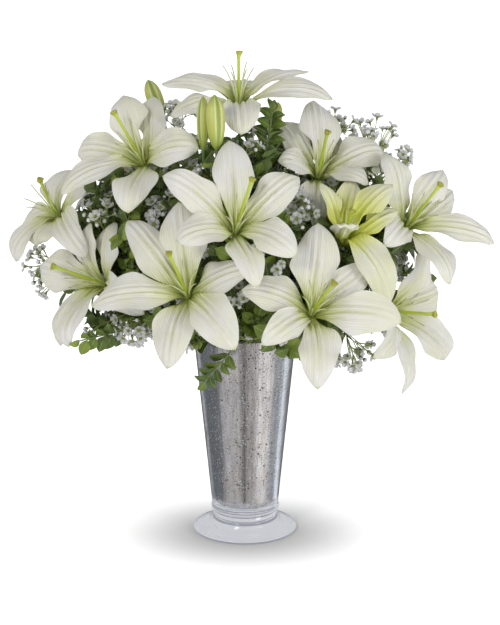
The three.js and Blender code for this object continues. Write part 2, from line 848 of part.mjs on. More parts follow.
// A shoot by itself, closed at its root by a small triangle there.
function loose(root, rings, size) {
  const middle = rings[0].reduce((sum, p) => sum.add(p), vec(0, 0, 0)).divideScalar(rings[0].length);
  const [a, b] = squareTo(middle.sub(root).normalize());
  const points = [0, 1, 2].map((k) =>
    root
      .clone()
      .addScaledVector(a, size * Math.cos((2 * Math.PI * k) / 3))
      .addScaledVector(b, size * Math.sin((2 * Math.PI * k) / 3)),
  );
  const faces = [[0, 2, 1]];
  drawOut(points, faces, [0, 1, 2], rings);
  return solidOf(points, faces);
}

// ---------------------------------------------------------------- lily stems

// rim: where the stem passes the rim. fork: where its pedicels part. to: what they carry.
// leaves: which way each stem leaf grows from the fork, right, up and near, and how long it is.
const LILY_STEMS = [
  {
    name: "stem_front_left",
    rim: [-22, -14],
    fork: [-52, -34, 256],
    to: ["lily_front_left", "lily_left", "lily_far_left"],
    leaves: [
      [-0.25, 0.9, 0.15, 66],
      [-0.5, -0.3, 0.6, 60],
    ],
  },
  {
    name: "stem_front",
    rim: [8, -24],
    fork: [22, -52, 256],
    to: ["lily_centre", "lily_front_right", "lily_half_open"],
    leaves: [
      [-0.35, 0.8, 0.3, 60],
      [0.3, -0.1, 0.8, 52],
    ],
  },
  {
    name: "stem_right",
    rim: [28, -4],
    fork: [72, -14, 258],
    to: ["lily_right", "lily_lower_right"],
    leaves: [
      [0.25, 0.9, -0.1, 66],
      [0.2, -0.4, 0.6, 56],
    ],
  },
  {
    name: "stem_top",
    rim: [4, 4],
    fork: [4, 4, 330],
    to: ["lily_top", "lily_upper_right", "bud_centre_left", "bud_left"],
    leaves: [
      [-0.45, 0.75, 0.1, 64],
      [0.5, 0.75, 0.2, 60],
    ],
  },
  {
    name: "stem_upper_left",
    rim: [-18, 12],
    fork: [-52, 14, 318],
    to: ["lily_upper_left", "bud_far_left"],
    leaves: [
      [-0.8, -0.1, 0.3, 60],
      [0.35, 0.8, 0.3, 56],
    ],
  },
  {
    name: "stem_back",
    rim: [4, 26],
    fork: [2, 50, 262],
    to: ["lily_back_left", "lily_back_right", "lily_back_low", "bud_back"],
    leaves: [
      [-0.8, 0.1, -0.5, 66],
      [0.8, 0.1, -0.5, 66],
    ],
  },
];

const bareStems = LILY_STEMS.map((data) => {
  const [foot, rim] = standing(data.rim, 6, STEM_RADIUS, 5);
  const fork = vec(...data.fork);
  const main = [foot, rim, ...smooth([foot, rim, fork], 3).slice(4)];
  const parts = [rod(main, main.map((p, i) => STEM_RADIUS - (0.6 * i) / main.length), 5)];
  for (const name of data.to) {
    const { base, faces } = blooms.get(name);
    const end = base.clone().addScaledVector(faces, -0.5);
    const under = base.clone().addScaledVector(faces, -PEDICEL_STRAIGHT);
    parts.push(rod([fork, under, end], [PEDICEL_RADIUS, PEDICEL_TOP, PEDICEL_TOP], 4));
  }
  const stem = Manifold.union(parts);
  reserve(data.name, stem);
  return stem;
});

// ---------------------------------------------------------------- waxflower sprays

// rim: where the twig passes the rim. via: bends on its way. heads: where it breaks into florets
// and buds, which way they spread, how many there are and how long their stalks are. Places and
// directions are right, up and near in the layout. seed starts the spray's own numbers.
const SPRAYS = [
  { name: "waxflower_top_right", rim: [24, 14], via: [[80, 90, -10]], seed: 1, heads: [
    { at: [126, 158, -2], out: [0.05, 1, 0.1], count: 9, reach: 32 },
    { at: [88, 178, -4], out: [0.1, 1, 0], count: 4, reach: 22 },
  ] },
  { name: "waxflower_right", rim: [36, 6], via: [[90, 50, 0]], seed: 2, heads: [
    { at: [152, 150, -4], out: [0.7, 0.7, 0], count: 3, reach: 18 },
    { at: [142, 44, 48], out: [0.5, 0.4, 0.4], count: 4, reach: 18 },
  ] },
  { name: "waxflower_top_left", rim: [-8, 14], via: [[-40, 110, 20]], seed: 3, heads: [
    { at: [-66, 190, 22], out: [0, 0.9, 0.3], count: 6, reach: 20 },
  ] },
  { name: "waxflower_left", rim: [-36, -4], via: [[-90, 40, 40]], seed: 4, heads: [
    { at: [-140, 84, 48], out: [-0.3, 0.5, 0.8], count: 7, reach: 20 },
  ] },
  { name: "waxflower_far_left", rim: [-38, 8], via: [[-110, 30, 5]], seed: 5, heads: [
    { at: [-190, 46, 6], out: [-1, 0, 0], count: 5, reach: 26 },
  ] },
  { name: "waxflower_left_centre", rim: [-24, 2], via: [[-50, 60, 50]], seed: 6, heads: [
    { at: [-80, 92, 78], out: [-0.1, 0.6, 0.8], count: 8, reach: 20 },
  ] },
  { name: "waxflower_middle", rim: [-8, -8], via: [[-20, 90, 60]], seed: 7, heads: [
    { at: [-36, 132, 84], out: [0, 0.7, 0.6], count: 4, reach: 14 },
  ] },
  { name: "waxflower_right_centre", rim: [18, -12], via: [[40, 60, 60]], seed: 8, heads: [
    { at: [52, 94, 88], out: [0.1, 0.7, 0.7], count: 8, reach: 22 },
  ] },
  { name: "waxflower_lower_right", rim: [34, -18], via: [[70, -10, 60]], seed: 9, heads: [
    { at: [100, -28, 84], out: [0.3, -0.9, 0.2], count: 6, reach: 24 },
  ] },
  { name: "waxflower_front", rim: [2, -38], via: [[3, -14, 47]], seed: 10, heads: [
    { at: [5, -16, 90], out: [0, 0.8, 0.6], count: 9, reach: 17 },
  ] },
  { name: "waxflower_lower_left", rim: [-37, -16], via: [], seed: 11, heads: [
    { at: [-106, -10, 84], out: [-0.1, -0.8, 0.5], count: 6, reach: 20 },
  ] },
  { name: "waxflower_back", rim: [22, 30], via: [], seed: 12, heads: [
    { at: [60, 60, -120], out: [0.3, 0.5, -0.8], count: 5, reach: 24 },
    { at: [-46, 74, -118], out: [-0.3, 0.5, -0.8], count: 4, reach: 22 },
  ] },
];

// A twig and everything on it as one closed skin. The twig has three sides and runs along `path`.
// Each shoot leaves the last stretch `back` millimetres before the end, drawn out of one triangle
// of the side that looks most nearly its way; the shoot with no `back` carries the end on.
function grown(path, shoots) {
  const end = path[path.length - 1];
  const along = end.clone().sub(path[path.length - 2]).normalize();
  const backs = shoots.filter((s) => s.back).flatMap((s) => [s.back, s.back - SHOOT_STEP]);
  const stations = [...new Set(backs.map((x) => Math.round(x * 1e4) / 1e4))]
    .filter((x) => x > 0)
    .sort((x, y) => y - x);
  const centres = [
    ...path.slice(0, -1),
    ...stations.map((x) => end.clone().addScaledVector(along, -x)),
    end,
  ];
  const points = ringsAlong(centres, centres.map(() => TWIG_RADIUS), 3);
  const faces = [[0, 2, 1]];
  const roots = new Map();
  for (const shoot of shoots.filter((s) => s.back)) {
    const station = stations.findIndex((x) => Math.abs(x - shoot.back) < 1e-3);
    const ring = path.length - 1 + station;
    const looks = [0, 1, 2].map((k) =>
      points[3 * ring + k]
        .clone()
        .add(points[3 * ring + ((k + 1) % 3)])
        .addScaledVector(centres[ring], -2)
        .dot(shoot.towards),
    );
    roots.set(3 * ring + looks.indexOf(Math.max(...looks)), shoot);
  }
  for (let r = 0; r + 1 < centres.length; r += 1) {
    for (let k = 0; k < 3; k += 1) {
      const a = 3 * r + k;
      const b = 3 * r + ((k + 1) % 3);
      faces.push([a, b + 3, a + 3]);
      if (roots.has(a)) drawOut(points, faces, [a, b, b + 3], roots.get(a).rings);
      else faces.push([a, b, b + 3]);
    }
  }
  const last = 3 * (centres.length - 1);
  const carried = shoots.find((s) => !s.back);
  if (carried) drawOut(points, faces, [last, last + 1, last + 2], carried.rings);
  else faces.push([last, last + 1, last + 2]);
  return solidOf(points, faces);
}

// The shoots of one head of a spray, spread about the way it looks and leaving its twig one by
// one. Where a stalk would touch something a shorter and then a longer one is tried; where none
// fits it isn't grown.
function headShoots(head, at, out, random) {
  const [a, b] = squareTo(out);
  const shoots = [];
  const stalksGrown = [];
  for (let i = 0; i < head.count; i += 1) {
    const tilt = 1.05 * Math.sqrt(i / head.count);
    const turn = 2.4 * i + 0.7 * random();
    const long = head.reach * (0.75 + 0.5 * random());
    const towards = out
      .clone()
      .multiplyScalar(Math.cos(tilt))
      .addScaledVector(a, Math.sin(tilt) * Math.cos(turn))
      .addScaledVector(b, Math.sin(tilt) * Math.sin(turn));
    const root = at.clone().addScaledVector(out, -SHOOT_STEP * i);
    for (const share of STALK_TRIES) {
      const rings = stalkRings(root, at.clone().addScaledVector(towards, share * long), i % 3 === 2);
      const off = loose(root.clone().addScaledVector(towards, 5), rings, 0.2);
      if (!clear(loose(root, rings, 0.5), KEEP_OFF)) continue;
      if (stalksGrown.some((other) => other.minGap(off, 1) < 0.2)) continue;
      stalksGrown.push(off);
      shoots.push({ back: SHOOT_STEP * i, towards, rings });
      break;
    }
  }
  return shoots;
}

for (const data of SPRAYS) {
  const random = seeded(data.seed);
  const [foot, rim] = standing(data.rim, TWIG_FOOT, TWIG_RADIUS, 3);
  const trunk = [foot, rim, ...data.via.map((p) => seenAt(...p))];
  const parts = data.heads.map((head, h) => {
    const out = seen(...head.out).normalize();
    const at = seenAt(...head.at);
    const before = at.clone().addScaledVector(out, -HEAD_TWIG);
    // A second head's twig starts inside the last bend of the first one's.
    const start = h === 0 ? trunk : trunk.slice(-1);
    return grown([...start, before, at], headShoots(head, at, out, random));
  });
  add(data.name, Manifold.union(parts), WAXFLOWER);
}

// ---------------------------------------------------------------- leafy sprigs

// end: the tip of the sprig. leaves: how many, in pairs over its last stretch, with one more at
// the tip. Where a leaf would touch something it isn't grown.
const SPRIGS = [
  { name: "sprig_top", rim: [10, -8], via: [[16, 100, 50], [18, 140, 56]], end: [27, 196, 50],
    leaves: 12, seed: 21 },
  { name: "sprig_lower_left", rim: [-29, -30], via: [[-36, -12, 54], [-112, -16, 74]],
    end: [-158, -27, 88], leaves: 10, seed: 22 },
  { name: "sprig_front", rim: [-12, -40], via: [[-11, -16, 50], [-10, -34, 86]], end: [-38, -66, 72],
    leaves: 8, seed: 23 },
  { name: "sprig_right_rim", rim: [20, -36], via: [[27, -14, 48]], end: [54, -40, 86], leaves: 6,
    seed: 24 },
  { name: "sprig_left", rim: [-32, 16], via: [[-105, 60, 39]], end: [-150, 130, 34],
    leaves: 10, seed: 25 },
  { name: "sprig_right", rim: [38, -12], via: [[86, 34, 54]], end: [128, 90, 64],
    leaves: 8, seed: 26 },
  { name: "sprig_back", rim: [-16, 34], via: [], end: [-20, 150, -90], leaves: 10, seed: 27 },
];

for (const data of SPRIGS) {
  const random = seeded(data.seed);
  const [foot, rim] = standing(data.rim, TWIG_FOOT, TWIG_RADIUS, 3);
  const tip = seenAt(...data.end);
  const path = [foot, rim, ...data.via.map((p) => seenAt(...p)), tip];
  const from = path[path.length - 2];
  const along = tip.clone().sub(from).normalize();
  const outwards = mix(from, tip, 0.5).sub(vec(...DOME_MIDDLE)).normalize();
  const a = along.clone().cross(outwards).normalize();
  const b = a.clone().cross(along);
  const pairs = Math.floor(data.leaves / 2);
  const step = (0.86 * tip.distanceTo(from)) / pairs;
  const shoots = [];
  const leavesGrown = [];
  const tryLeaf = (back, towards, long) => {
    const up = b.clone().addScaledVector(along, back ? LEAF_TILT : 0);
    const root = tip.clone().addScaledVector(along, -back);
    const rings = leafRings(root, towards, up, long, long * LEAF_WIDTH, 1.2);
    const off = loose(root.clone().addScaledVector(towards, 2), rings, 0.2);
    if (!clear(loose(root, rings, 0.5), KEEP_OFF)) return;
    if (leavesGrown.some((other) => other.minGap(off, 1) < 0.1)) return;
    leavesGrown.push(off);
    shoots.push({ back, towards, rings });
  };
  for (let i = 0; i < 2 * pairs; i += 1) {
    const pair = Math.floor(i / 2);
    const lean = 0.95 + 0.3 * random();
    const rise = 0.3 + 0.12 * random();
    const long = 16 + 6 * random();
    const away = a
      .clone()
      .multiplyScalar((i % 2 ? -1 : 1) * Math.cos(rise))
      .addScaledVector(b, Math.sin(rise));
    const towards = along
      .clone()
      .multiplyScalar(Math.cos(lean))
      .addScaledVector(away, Math.sin(lean));
    tryLeaf(SHOOT_STEP + 5 + pair * step, towards, long);
  }
  tryLeaf(0, along.clone().addScaledVector(b, 0.2).normalize(), 18);
  add(data.name, grown(path, shoots), SPRIG);
}

// ---------------------------------------------------------------- lily stems with their leaves

// The stem leaves come last and take the room that is left: each is tried at shorter lengths too.
LILY_STEMS.forEach((data, i) => {
  const root = vec(...data.fork);
  const parts = [bareStems[i]];
  for (const [right, up, near, length] of data.leaves) {
    const towards = seen(right, up, near).normalize();
    const outwards = root.clone().addScaledVector(towards, length / 2).sub(vec(...DOME_MIDDLE));
    for (const share of STEM_LEAF_TRIES) {
      const long = share * length;
      const rings = leafRings(root, towards, outwards, long, long * STEM_LEAF_WIDTH, 2);
      const piece = loose(root, rings, 0.5);
      if (!clear(piece, KEEP_OFF, data.name)) continue;
      parts.push(piece);
      break;
    }
  }
  placed.splice(placed.findIndex((p) => p.name === data.name), 1);
  add(data.name, Manifold.union(parts), LILY_STEM);
});

water = Manifold.difference([water, ...holes]);
add("water", water, WATER);

export default group;
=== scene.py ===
# %% [markdown]
# # White lilies in a silvered glass vase
# A dome of open lilies, small white waxflowers and leafy sprigs stands in water in a tapered vase.
# The solid model gives every piece its place and its main form. This notebook puts a finer skin in
# the place of each solid: petals with ribs and wavy edges, leaves with veins, glass and old silver.

import math

import bpy
import numpy as np
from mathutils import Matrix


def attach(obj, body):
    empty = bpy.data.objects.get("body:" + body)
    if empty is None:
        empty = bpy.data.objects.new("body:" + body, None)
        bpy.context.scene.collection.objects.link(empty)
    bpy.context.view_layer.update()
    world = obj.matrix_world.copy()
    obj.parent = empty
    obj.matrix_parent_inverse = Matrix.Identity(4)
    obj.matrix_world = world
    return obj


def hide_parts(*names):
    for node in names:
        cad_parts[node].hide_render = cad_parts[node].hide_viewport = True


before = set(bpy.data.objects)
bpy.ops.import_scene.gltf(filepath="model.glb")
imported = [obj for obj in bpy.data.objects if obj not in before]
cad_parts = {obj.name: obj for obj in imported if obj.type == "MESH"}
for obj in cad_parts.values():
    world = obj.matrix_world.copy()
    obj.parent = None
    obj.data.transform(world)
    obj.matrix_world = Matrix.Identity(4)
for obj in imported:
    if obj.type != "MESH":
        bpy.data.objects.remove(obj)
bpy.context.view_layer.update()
MM = 0.001  # the layout below is in millimetres, the scene in metres

# %% [markdown]
# ## Directions and curves
# Places in the bouquet are given the way they look to someone standing in front: how far right,
# how far up and how near. One function turns these into the scene's own axes.
# Everything that grows follows a curve, and a Bezier curve needs only its two ends and two handles.


# %% Directions and curves
def unit(v):
    """A vector, or each one of an array of vectors, divided by its length."""
    v = np.asarray(v, float)
    return v / np.linalg.norm(v, axis=-1, keepdims=True)


SIGHT_TILT = math.radians(15.5)  # the front view looks down by this much
SIGHT_LEVEL = np.array([0, 0, 228.0])  # the middle of the layout, on the vase's axis


def seen(right, up, near):
    """(right, up sin t - near cos t, up cos t + near sin t), with t the tilt of the view."""
    sin, cos = math.sin(SIGHT_TILT), math.cos(SIGHT_TILT)
    return np.array([right, up * sin - near * cos, up * cos + near * sin])


def seen_at(right, up, near):
    """The same for a place, measured from the layout's level on the vase axis."""
    return seen(right, up, near) + SIGHT_LEVEL


def square_to(along):
    """Two directions square to one direction and to each other."""
    helper = np.array([0, 0, 1.0] if abs(along[2]) < 0.9 else [1.0, 0, 0])
    a = unit(np.cross(helper, along))
    return a, np.cross(along, a)


def ease(x, low, high):
    """3t^2 - 2t^3, where t runs from 0 to 1 as x runs from low to high: a soft step."""
    t = np.clip((np.asarray(x, float) - low) / (high - low), 0, 1)
    return t * t * (3 - 2 * t)


def bezier(a, b, c, d, t):
    """(1-t)^3 a + 3(1-t)^2 t b + 3(1-t)t^2 c + t^3 d, and the direction of the curve there.
    The four points may be arrays of points; t then runs along the axis before the last."""
    t = np.asarray(t, float)[:, None]
    a, b, c, d = (np.asarray(p, float)[..., None, :] for p in (a, b, c, d))
    place = (1 - t) ** 3 * a + 3 * (1 - t) ** 2 * t * b + 3 * (1 - t) * t**2 * c + t**3 * d
    slope = (1 - t) ** 2 * (b - a) + 2 * (1 - t) * t * (c - b) + t**2 * (d - c)
    return place, unit(slope)


def rounded(knots, radius=14.0, steps=5):
    """A line through the knots whose corners are cut short by parabolas:
    (1-t)^2 p + 2t(1-t) knot + t^2 q, where p and q lie on the line before and after the knot."""
    knots = np.array(knots, float)
    t = np.linspace(0, 1, steps)[:, None]
    path = [knots[:1]]
    for before, knot, after in zip(knots, knots[1:], knots[2:]):
        back = min(radius, 0.45 * np.linalg.norm(knot - before))
        on = min(radius, 0.45 * np.linalg.norm(after - knot))
        p = knot - back * unit(knot - before)
        q = knot + on * unit(after - knot)
        path.append((1 - t) ** 2 * p + 2 * t * (1 - t) * knot + t**2 * q)
    return np.concatenate(path + [knots[-1:]])


def evenly(path, count):
    """The same line with `count` points spaced evenly by length."""
    walked = np.r_[0, np.cumsum(np.linalg.norm(np.diff(path, axis=0), axis=1))]
    at = np.linspace(0, walked[-1], count)
    return np.stack([np.interp(at, walked, path[:, k]) for k in range(3)], -1)


print("a place straight in front of the vase, 100 mm nearer:", seen_at(0, 0, 100).round(1))

# %% [markdown]
# ## Skins
# A petal, a twig, a bead of glass and a leaf are all made the same way: a ring of points carried
# along a path and closed at both ends. A ring can be a circle or a flat loop over and under a blade.
# Each skin is worked out as one array, and a piece is a list of skins. Every point also keeps three
# numbers that the materials read: how far across it lies, how far along, and a tone of its own.


# %% Skins
def tubes(paths, radii, around):
    """path(i) + radius(i) (cos u A(i) + sin u B(i)), where A and B are square to the path.
    paths holds one path or a whole batch of them, shaped (count, rings, 3)."""
    paths = np.asarray(paths, float)
    paths = paths[None] if paths.ndim == 2 else paths
    along = unit(np.gradient(paths, axis=1))
    mean = paths[:, -1] - paths[:, 0]
    helper = np.eye(3)[np.abs(mean).argmin(-1)][:, None]
    a = unit(helper - (helper * along).sum(-1, keepdims=True) * along)
    b = np.cross(along, a)
    u = (2 * math.pi * np.arange(around) / around)[:, None]
    spokes = a[:, :, None] * np.cos(u) + b[:, :, None] * np.sin(u)
    each = (around,) if np.ndim(radii) > 2 else ()
    radii = np.broadcast_to(radii, paths.shape[:2] + each).reshape(*paths.shape[:2], -1, 1)
    return paths[:, :, None] + radii * spokes


def turned(profile, around, origin=(0, 0, 0), axis=(0, 0, 1)):
    """origin + radius(i) (cos u A + sin u B) + height(i) axis: a profile carried round an axis."""
    radius, height = np.array(profile, float).T
    a, b = square_to(np.array(axis, float))
    u = (2 * math.pi * np.arange(around) / around)[:, None]
    spokes = a * np.cos(u) + b * np.sin(u)
    rings = radius[:, None, None] * spokes + height[:, None, None] * np.array(axis, float)
    return (rings + np.array(origin, float))[None]


def marked(points, across, along, tone):
    """Keeps the three numbers with every point of a skin."""
    points = points[None] if points.ndim == 3 else points
    marks = [np.broadcast_to(m, points.shape[:-1]) for m in (across, along, tone)]
    return points, np.stack(marks, -1)


def ring_faces(rings, around):
    """The four-cornered faces between neighbouring rings, and a flat face over each end ring."""
    a = np.arange(rings - 1)[:, None] * around + np.arange(around)
    b = np.arange(rings - 1)[:, None] * around + (np.arange(around) + 1) % around
    quads = np.stack([a, b, b + around, a + around], -1).reshape(-1, 4)
    return quads, np.arange(around)[::-1], np.arange(around) + (rings - 1) * around


SHARP = math.radians(75)  # a fold sharper than this stays crisp, as at the edge of a thin leaf
made = {}


def make_piece(name, skins, material, slot, *nodes):
    """One mesh of all the skins, which stands for the given solids. Shading is smooth but for
    sharp folds. The number of triangles goes into `made`."""
    corners, marks, loops, sizes, base = [], [], [], [], 0
    for points, mark in skins:
        count, rings, around = points.shape[:3]
        quads, first, last = ring_faces(rings, around)
        start = base + np.arange(count)[:, None] * rings * around
        for faces in (quads, first[None], last[None]):
            loops.append((start[:, :, None] + faces[None]).ravel())
            sizes.append(np.full(count * len(faces), faces.shape[1]))
        corners.append(points.reshape(-1, 3))
        marks.append(mark.reshape(-1, 3))
        base += count * rings * around
    corners, marks, loops, sizes = (np.concatenate(x) for x in (corners, marks, loops, sizes))
    mesh = bpy.data.meshes.new(name)
    mesh.vertices.add(len(corners))
    mesh.vertices.foreach_set("co", (corners * MM).ravel())
    mesh.loops.add(len(loops))
    mesh.loops.foreach_set("vertex_index", loops)
    mesh.polygons.add(len(sizes))
    mesh.polygons.foreach_set("loop_start", np.r_[0, np.cumsum(sizes)[:-1]])
    mesh.attributes.new("place", "FLOAT_VECTOR", "POINT").data.foreach_set("vector", marks.ravel())
    mesh.update(calc_edges=True)
    mesh.validate()
    mesh.shade_smooth()
    mesh.set_sharp_from_angle(angle=SHARP)
    mesh.materials.append(material)
    piece = bpy.data.objects.new(name, mesh)
    bpy.context.scene.collection.objects.link(piece)
    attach(piece, "root")
    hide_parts(*nodes)
    made[name] = int((sizes - 2).sum())
    return piece


print("a ring of 5 corners carried along 3 rings has", len(ring_faces(3, 5)[0]) + 2, "faces")

# %% [markdown]
# ## Camera, light and floor
# The photograph was taken from about 2.4 m away with a long lens, looking down by 15.5 degrees. The
# light is a white tent, soft from everywhere, with one soft lamp at the upper left and a wider one at
# the right. It could be lamps alone, but what makes silver look like silver is what it mirrors, so
# darker and brighter strips, as of a tent round it, are painted on the floor as a glow that only
# mirrored rays see: a painted reflection. The camera sees only the pale floor, which runs far enough
# back to fill the picture and has one soft painted shadow, a dark round, where the vase stands.

# %% Camera
scene = bpy.context.scene
TARGET, DISTANCE = np.array([0.005, 0, 0.228]), 2.4
LONG_SIDE, VIEW_TALL = 36, 0.625  # of the film in mm, and of what it sees at the target in metres
camera_data = bpy.data.cameras.new("camera")
camera_data.lens = LONG_SIDE * DISTANCE / VIEW_TALL
camera_data.sensor_width = LONG_SIDE
camera_data.clip_end = 60
camera = bpy.data.objects.new("camera", camera_data)
camera.location = TARGET + DISTANCE * np.array([0, -math.cos(SIGHT_TILT), math.sin(SIGHT_TILT)])
camera.rotation_euler = (math.pi / 2 - SIGHT_TILT, 0, 0)
scene.collection.objects.link(camera)
scene.camera = camera
scene.view_settings.view_transform = "Standard"
print("lens", round(camera_data.lens, 2), "camera at", [round(c, 3) for c in camera.location])


# %% Nodes for materials
def put(tree, kind, inputs=None, **settings):
    """A node of the given kind. inputs maps its sockets' names or numbers to a value or a socket."""
    made_node = tree.nodes.new(kind)
    for key, value in settings.items():
        setattr(made_node, key, value)
    for key, value in (inputs or {}).items():
        if isinstance(value, bpy.types.NodeSocket):
            tree.links.new(value, made_node.inputs[key])
        else:
            made_node.inputs[key].default_value = value
    return made_node


def maths(tree, operation, *values):
    """A Math node's result."""
    return put(tree, "ShaderNodeMath", dict(enumerate(values)), operation=operation).outputs[0]


def times(tree, a, b):
    """a b"""
    return maths(tree, "MULTIPLY", a, b)


def plus(tree, a, b):
    """a + b"""
    return maths(tree, "ADD", a, b)


def grey(tree, value):
    """A value as a grey colour."""
    return put(tree, "ShaderNodeCombineColor", {0: value, 1: value, 2: value}).outputs[0]


def noise(tree, where, scale=1.0, detail=2.0, rough=0.5):
    """Soft random values around 0.5."""
    return put(tree, "ShaderNodeTexNoise", {"Vector": where, "Scale": scale, "Detail": detail,
                                            "Roughness": rough}).outputs[0]


def stretched(tree, where, scale, shift=(0, 0, 0)):
    """Coordinates with a scale of their own for each axis."""
    sockets = {"Vector": where, "Location": shift, "Scale": scale}
    return put(tree, "ShaderNodeMapping", sockets).outputs[0]


def mixed(tree, factor, a, b, blend="MIX"):
    """Two colours mixed by a factor."""
    sockets = {0: factor, 6: a, 7: b}
    return put(tree, "ShaderNodeMix", sockets, data_type="RGBA", blend_type=blend).outputs[2]


def ramp(tree, factor, *stops):
    """A colour ramp with the given (position, colour) stops."""
    made_ramp = put(tree, "ShaderNodeValToRGB", {0: factor})
    elements = made_ramp.color_ramp.elements
    while len(elements) < len(stops):
        elements.new(0.5)
    for element, (position, colour) in zip(elements, stops):
        element.position = position
        element.color = (*colour, 1)
    return made_ramp.outputs[0]


def spans(tree, value, low, high, to_low=0.0, to_high=1.0, smooth=True):
    """A value carried from one span to another, softly and without overshoot."""
    kind = "SMOOTHSTEP" if smooth else "LINEAR"
    return put(tree, "ShaderNodeMapRange", {0: value, 1: low, 2: high, 3: to_low, 4: to_high},
               interpolation_type=kind).outputs[0]


def new_material(name, **plain):
    """A node material and its Principled shader, with plain values for some of its sockets."""
    material = bpy.data.materials.new(name)
    material.use_nodes = True
    tree = material.node_tree
    shader = tree.nodes["Principled BSDF"]
    for socket, value in plain.items():
        shader.inputs[socket.replace("_", " ")].default_value = value
    return material, tree, shader


def dress(tree, shader, colour, roughness):
    """Links a colour and a roughness that change over the surface to the shader."""
    tree.links.new(colour, shader.inputs["Base Color"])
    tree.links.new(roughness, shader.inputs["Roughness"])


# %% The light tent's strips
# The strips of the painted reflection, which the floor glows with for mirrored rays: each strip's
# place in a turn about the vase, its brightness and how cool it is. 0.5 is straight in front, 0.25 at
# the left.
STRIPS = [(0, 0.5, 0), (0.025, 0.55, -0.02), (0.04, 0.2, 0), (0.058, 0.06, 0), (0.07, 0.06, 0),
          (0.11, 0.4, 0), (0.15, 0.15, 0.01), (0.3, 0.2, 0.01), (0.335, 0.55, -0.02),
          (0.45, 0.57, -0.03), (0.478, 0.44, -0.03), (0.488, 0.07, 0), (0.5, 0.09, 0),
          (0.512, 0.42, -0.03), (0.575, 0.48, -0.03), (0.6, 0.98, -0.05), (0.69, 0.93, -0.05),
          (0.71, 0.46, 0), (0.79, 0.44, 0.01), (0.81, 1.1, 0.06), (0.84, 1.05, 0.06), (0.87, 0.3, 0),
          (0.93, 0.06, 0), (0.945, 0.08, 0), (0.96, 0.75, 0.02), (0.98, 0.7, 0.02), (0.99, 0.3, 0),
          (1, 0.5, 0)]


def painted_reflection_strips(tree, x, y):
    """The painted reflection's strips: their colour by azimuth, atan2(x, -y) as a share of a turn."""
    azimuth = maths(tree, "ARCTAN2", x, times(tree, y, -1.0))
    turn = spans(tree, azimuth, -math.pi, math.pi, smooth=False)
    return ramp(tree, turn, *((at, (tone - cool, tone, tone + cool)) for at, tone, cool in STRIPS))


# %% Light and floor
world = bpy.data.worlds.new("light_tent")
scene.world = world
world.use_nodes = True
tree = world.node_tree
way = put(tree, "ShaderNodeTexCoord").outputs["Generated"]
height = put(tree, "ShaderNodeSeparateXYZ", {0: way}).outputs[2]
walls = ramp(tree, height, (0.0, (1.0, 1.0, 1.02)), (0.35, (0.95, 0.96, 0.98)),
             (0.95, (0.55, 0.56, 0.58)))
TENT_POWER, SEEN_WHITE = 0.56, (1.8, 1.8, 1.8, 1)  # together about 1: seen directly it is plain white
sight = put(tree, "ShaderNodeLightPath").outputs["Is Camera Ray"]
background = tree.nodes["Background"]
tree.links.new(mixed(tree, sight, walls, SEEN_WHITE), background.inputs[0])
background.inputs[1].default_value = TENT_POWER


BOUQUET_MIDDLE = np.array([0, 0, 0.28])


def soft_box(name, place, size, power, colour=(1, 1, 1)):
    """A square area light that looks at the middle of the bouquet."""
    data = bpy.data.lights.new(name, "AREA")
    data.size = size
    data.energy = power
    data.color = colour
    lamp = bpy.data.objects.new(name, data)
    lamp.location = place
    away = np.array(place) - BOUQUET_MIDDLE
    azimuth = math.atan2(away[0], -away[1])
    lamp.rotation_euler = (math.acos(away[2] / np.linalg.norm(away)), 0, azimuth)
    scene.collection.objects.link(lamp)


soft_box("key_light", (-1.2, -1.9, 1.5), 0.5, 14, (1, 0.97, 0.95))
soft_box("side_light", (1.8, -1.6, 0.6), 0.8, 15)

# %% [markdown]
# ### What the floor gives back
# The silver leans outwards, so what it mirrors is the floor in front of it. For mirrored light the
# floor therefore glows with the tent's strips, a painted reflection, but for a plain round under the
# foot. Seen directly it is white, with a painted shadow, a soft dark round a little in front of the
# vase's axis, and the light that it throws up under the blooms is weaker near the vase. A white plane
# with lamps over it could do the same, but the lamps that make a floor this even would flatten the
# petals.

# %% Floor
FLOOR_REACH, STRIPS_FROM, STRIPS_FULL = 30.0, 0.07, 0.1  # metres from the axis
floor_material, tree, shader = new_material("pale_floor", Emission_Strength=1.0, Roughness=0.9,
                                            Specular_IOR_Level=0.1)
spot = put(tree, "ShaderNodeTexCoord").outputs["Object"]
parts = put(tree, "ShaderNodeSeparateXYZ", {0: spot}).outputs
pale = ramp(tree, noise(tree, spot, 3.0), (0.3, (0.86, 0.86, 0.86)), (0.7, (0.9, 0.9, 0.9)))
path = put(tree, "ShaderNodeLightPath").outputs


def length_of(vector):
    """How long a vector is."""
    return put(tree, "ShaderNodeVectorMath", {0: vector}, operation="LENGTH").outputs["Value"]


out = length_of(spot)
# Painted reflection: beyond the plain round, mirrored rays see the floor dark, glowing with the strips.
painted_reflection_share = times(tree, maths(tree, "MINIMUM", path["Glossy Depth"], 1.0),
                 spans(tree, out, STRIPS_FROM, STRIPS_FULL))
tree.links.new(mixed(tree, painted_reflection_share, pale, (0.05, 0.05, 0.05, 1)), shader.inputs["Base Color"])
# Painted shadow: seen directly, the floor's glow is weak in a soft round just in front of the vase.
near = length_of(stretched(tree, spot, (1, 1.25, 1), (0, 0.022, 0)))
seen_glow_and_painted_shadow = plus(tree, spans(tree, near, 0.03, 0.16, 0.02, 0.7), spans(tree, near, 0.15, 0.5, 0.0, 0.3))
bent = maths(tree, "MAXIMUM", path["Is Transmission Ray"], path["Is Glossy Ray"])
cast_glow = plus(tree, times(tree, bent, 0.14), 0.36)
cast_glow = times(tree, spans(tree, out, 0.15, 2.4, 0.46, 1.0), cast_glow)
glow = mixed(tree, path["Is Camera Ray"], grey(tree, cast_glow), grey(tree, seen_glow_and_painted_shadow))
strips = painted_reflection_strips(tree, parts[0], parts[1])
tree.links.new(mixed(tree, painted_reflection_share, glow, strips), shader.inputs["Emission Color"])

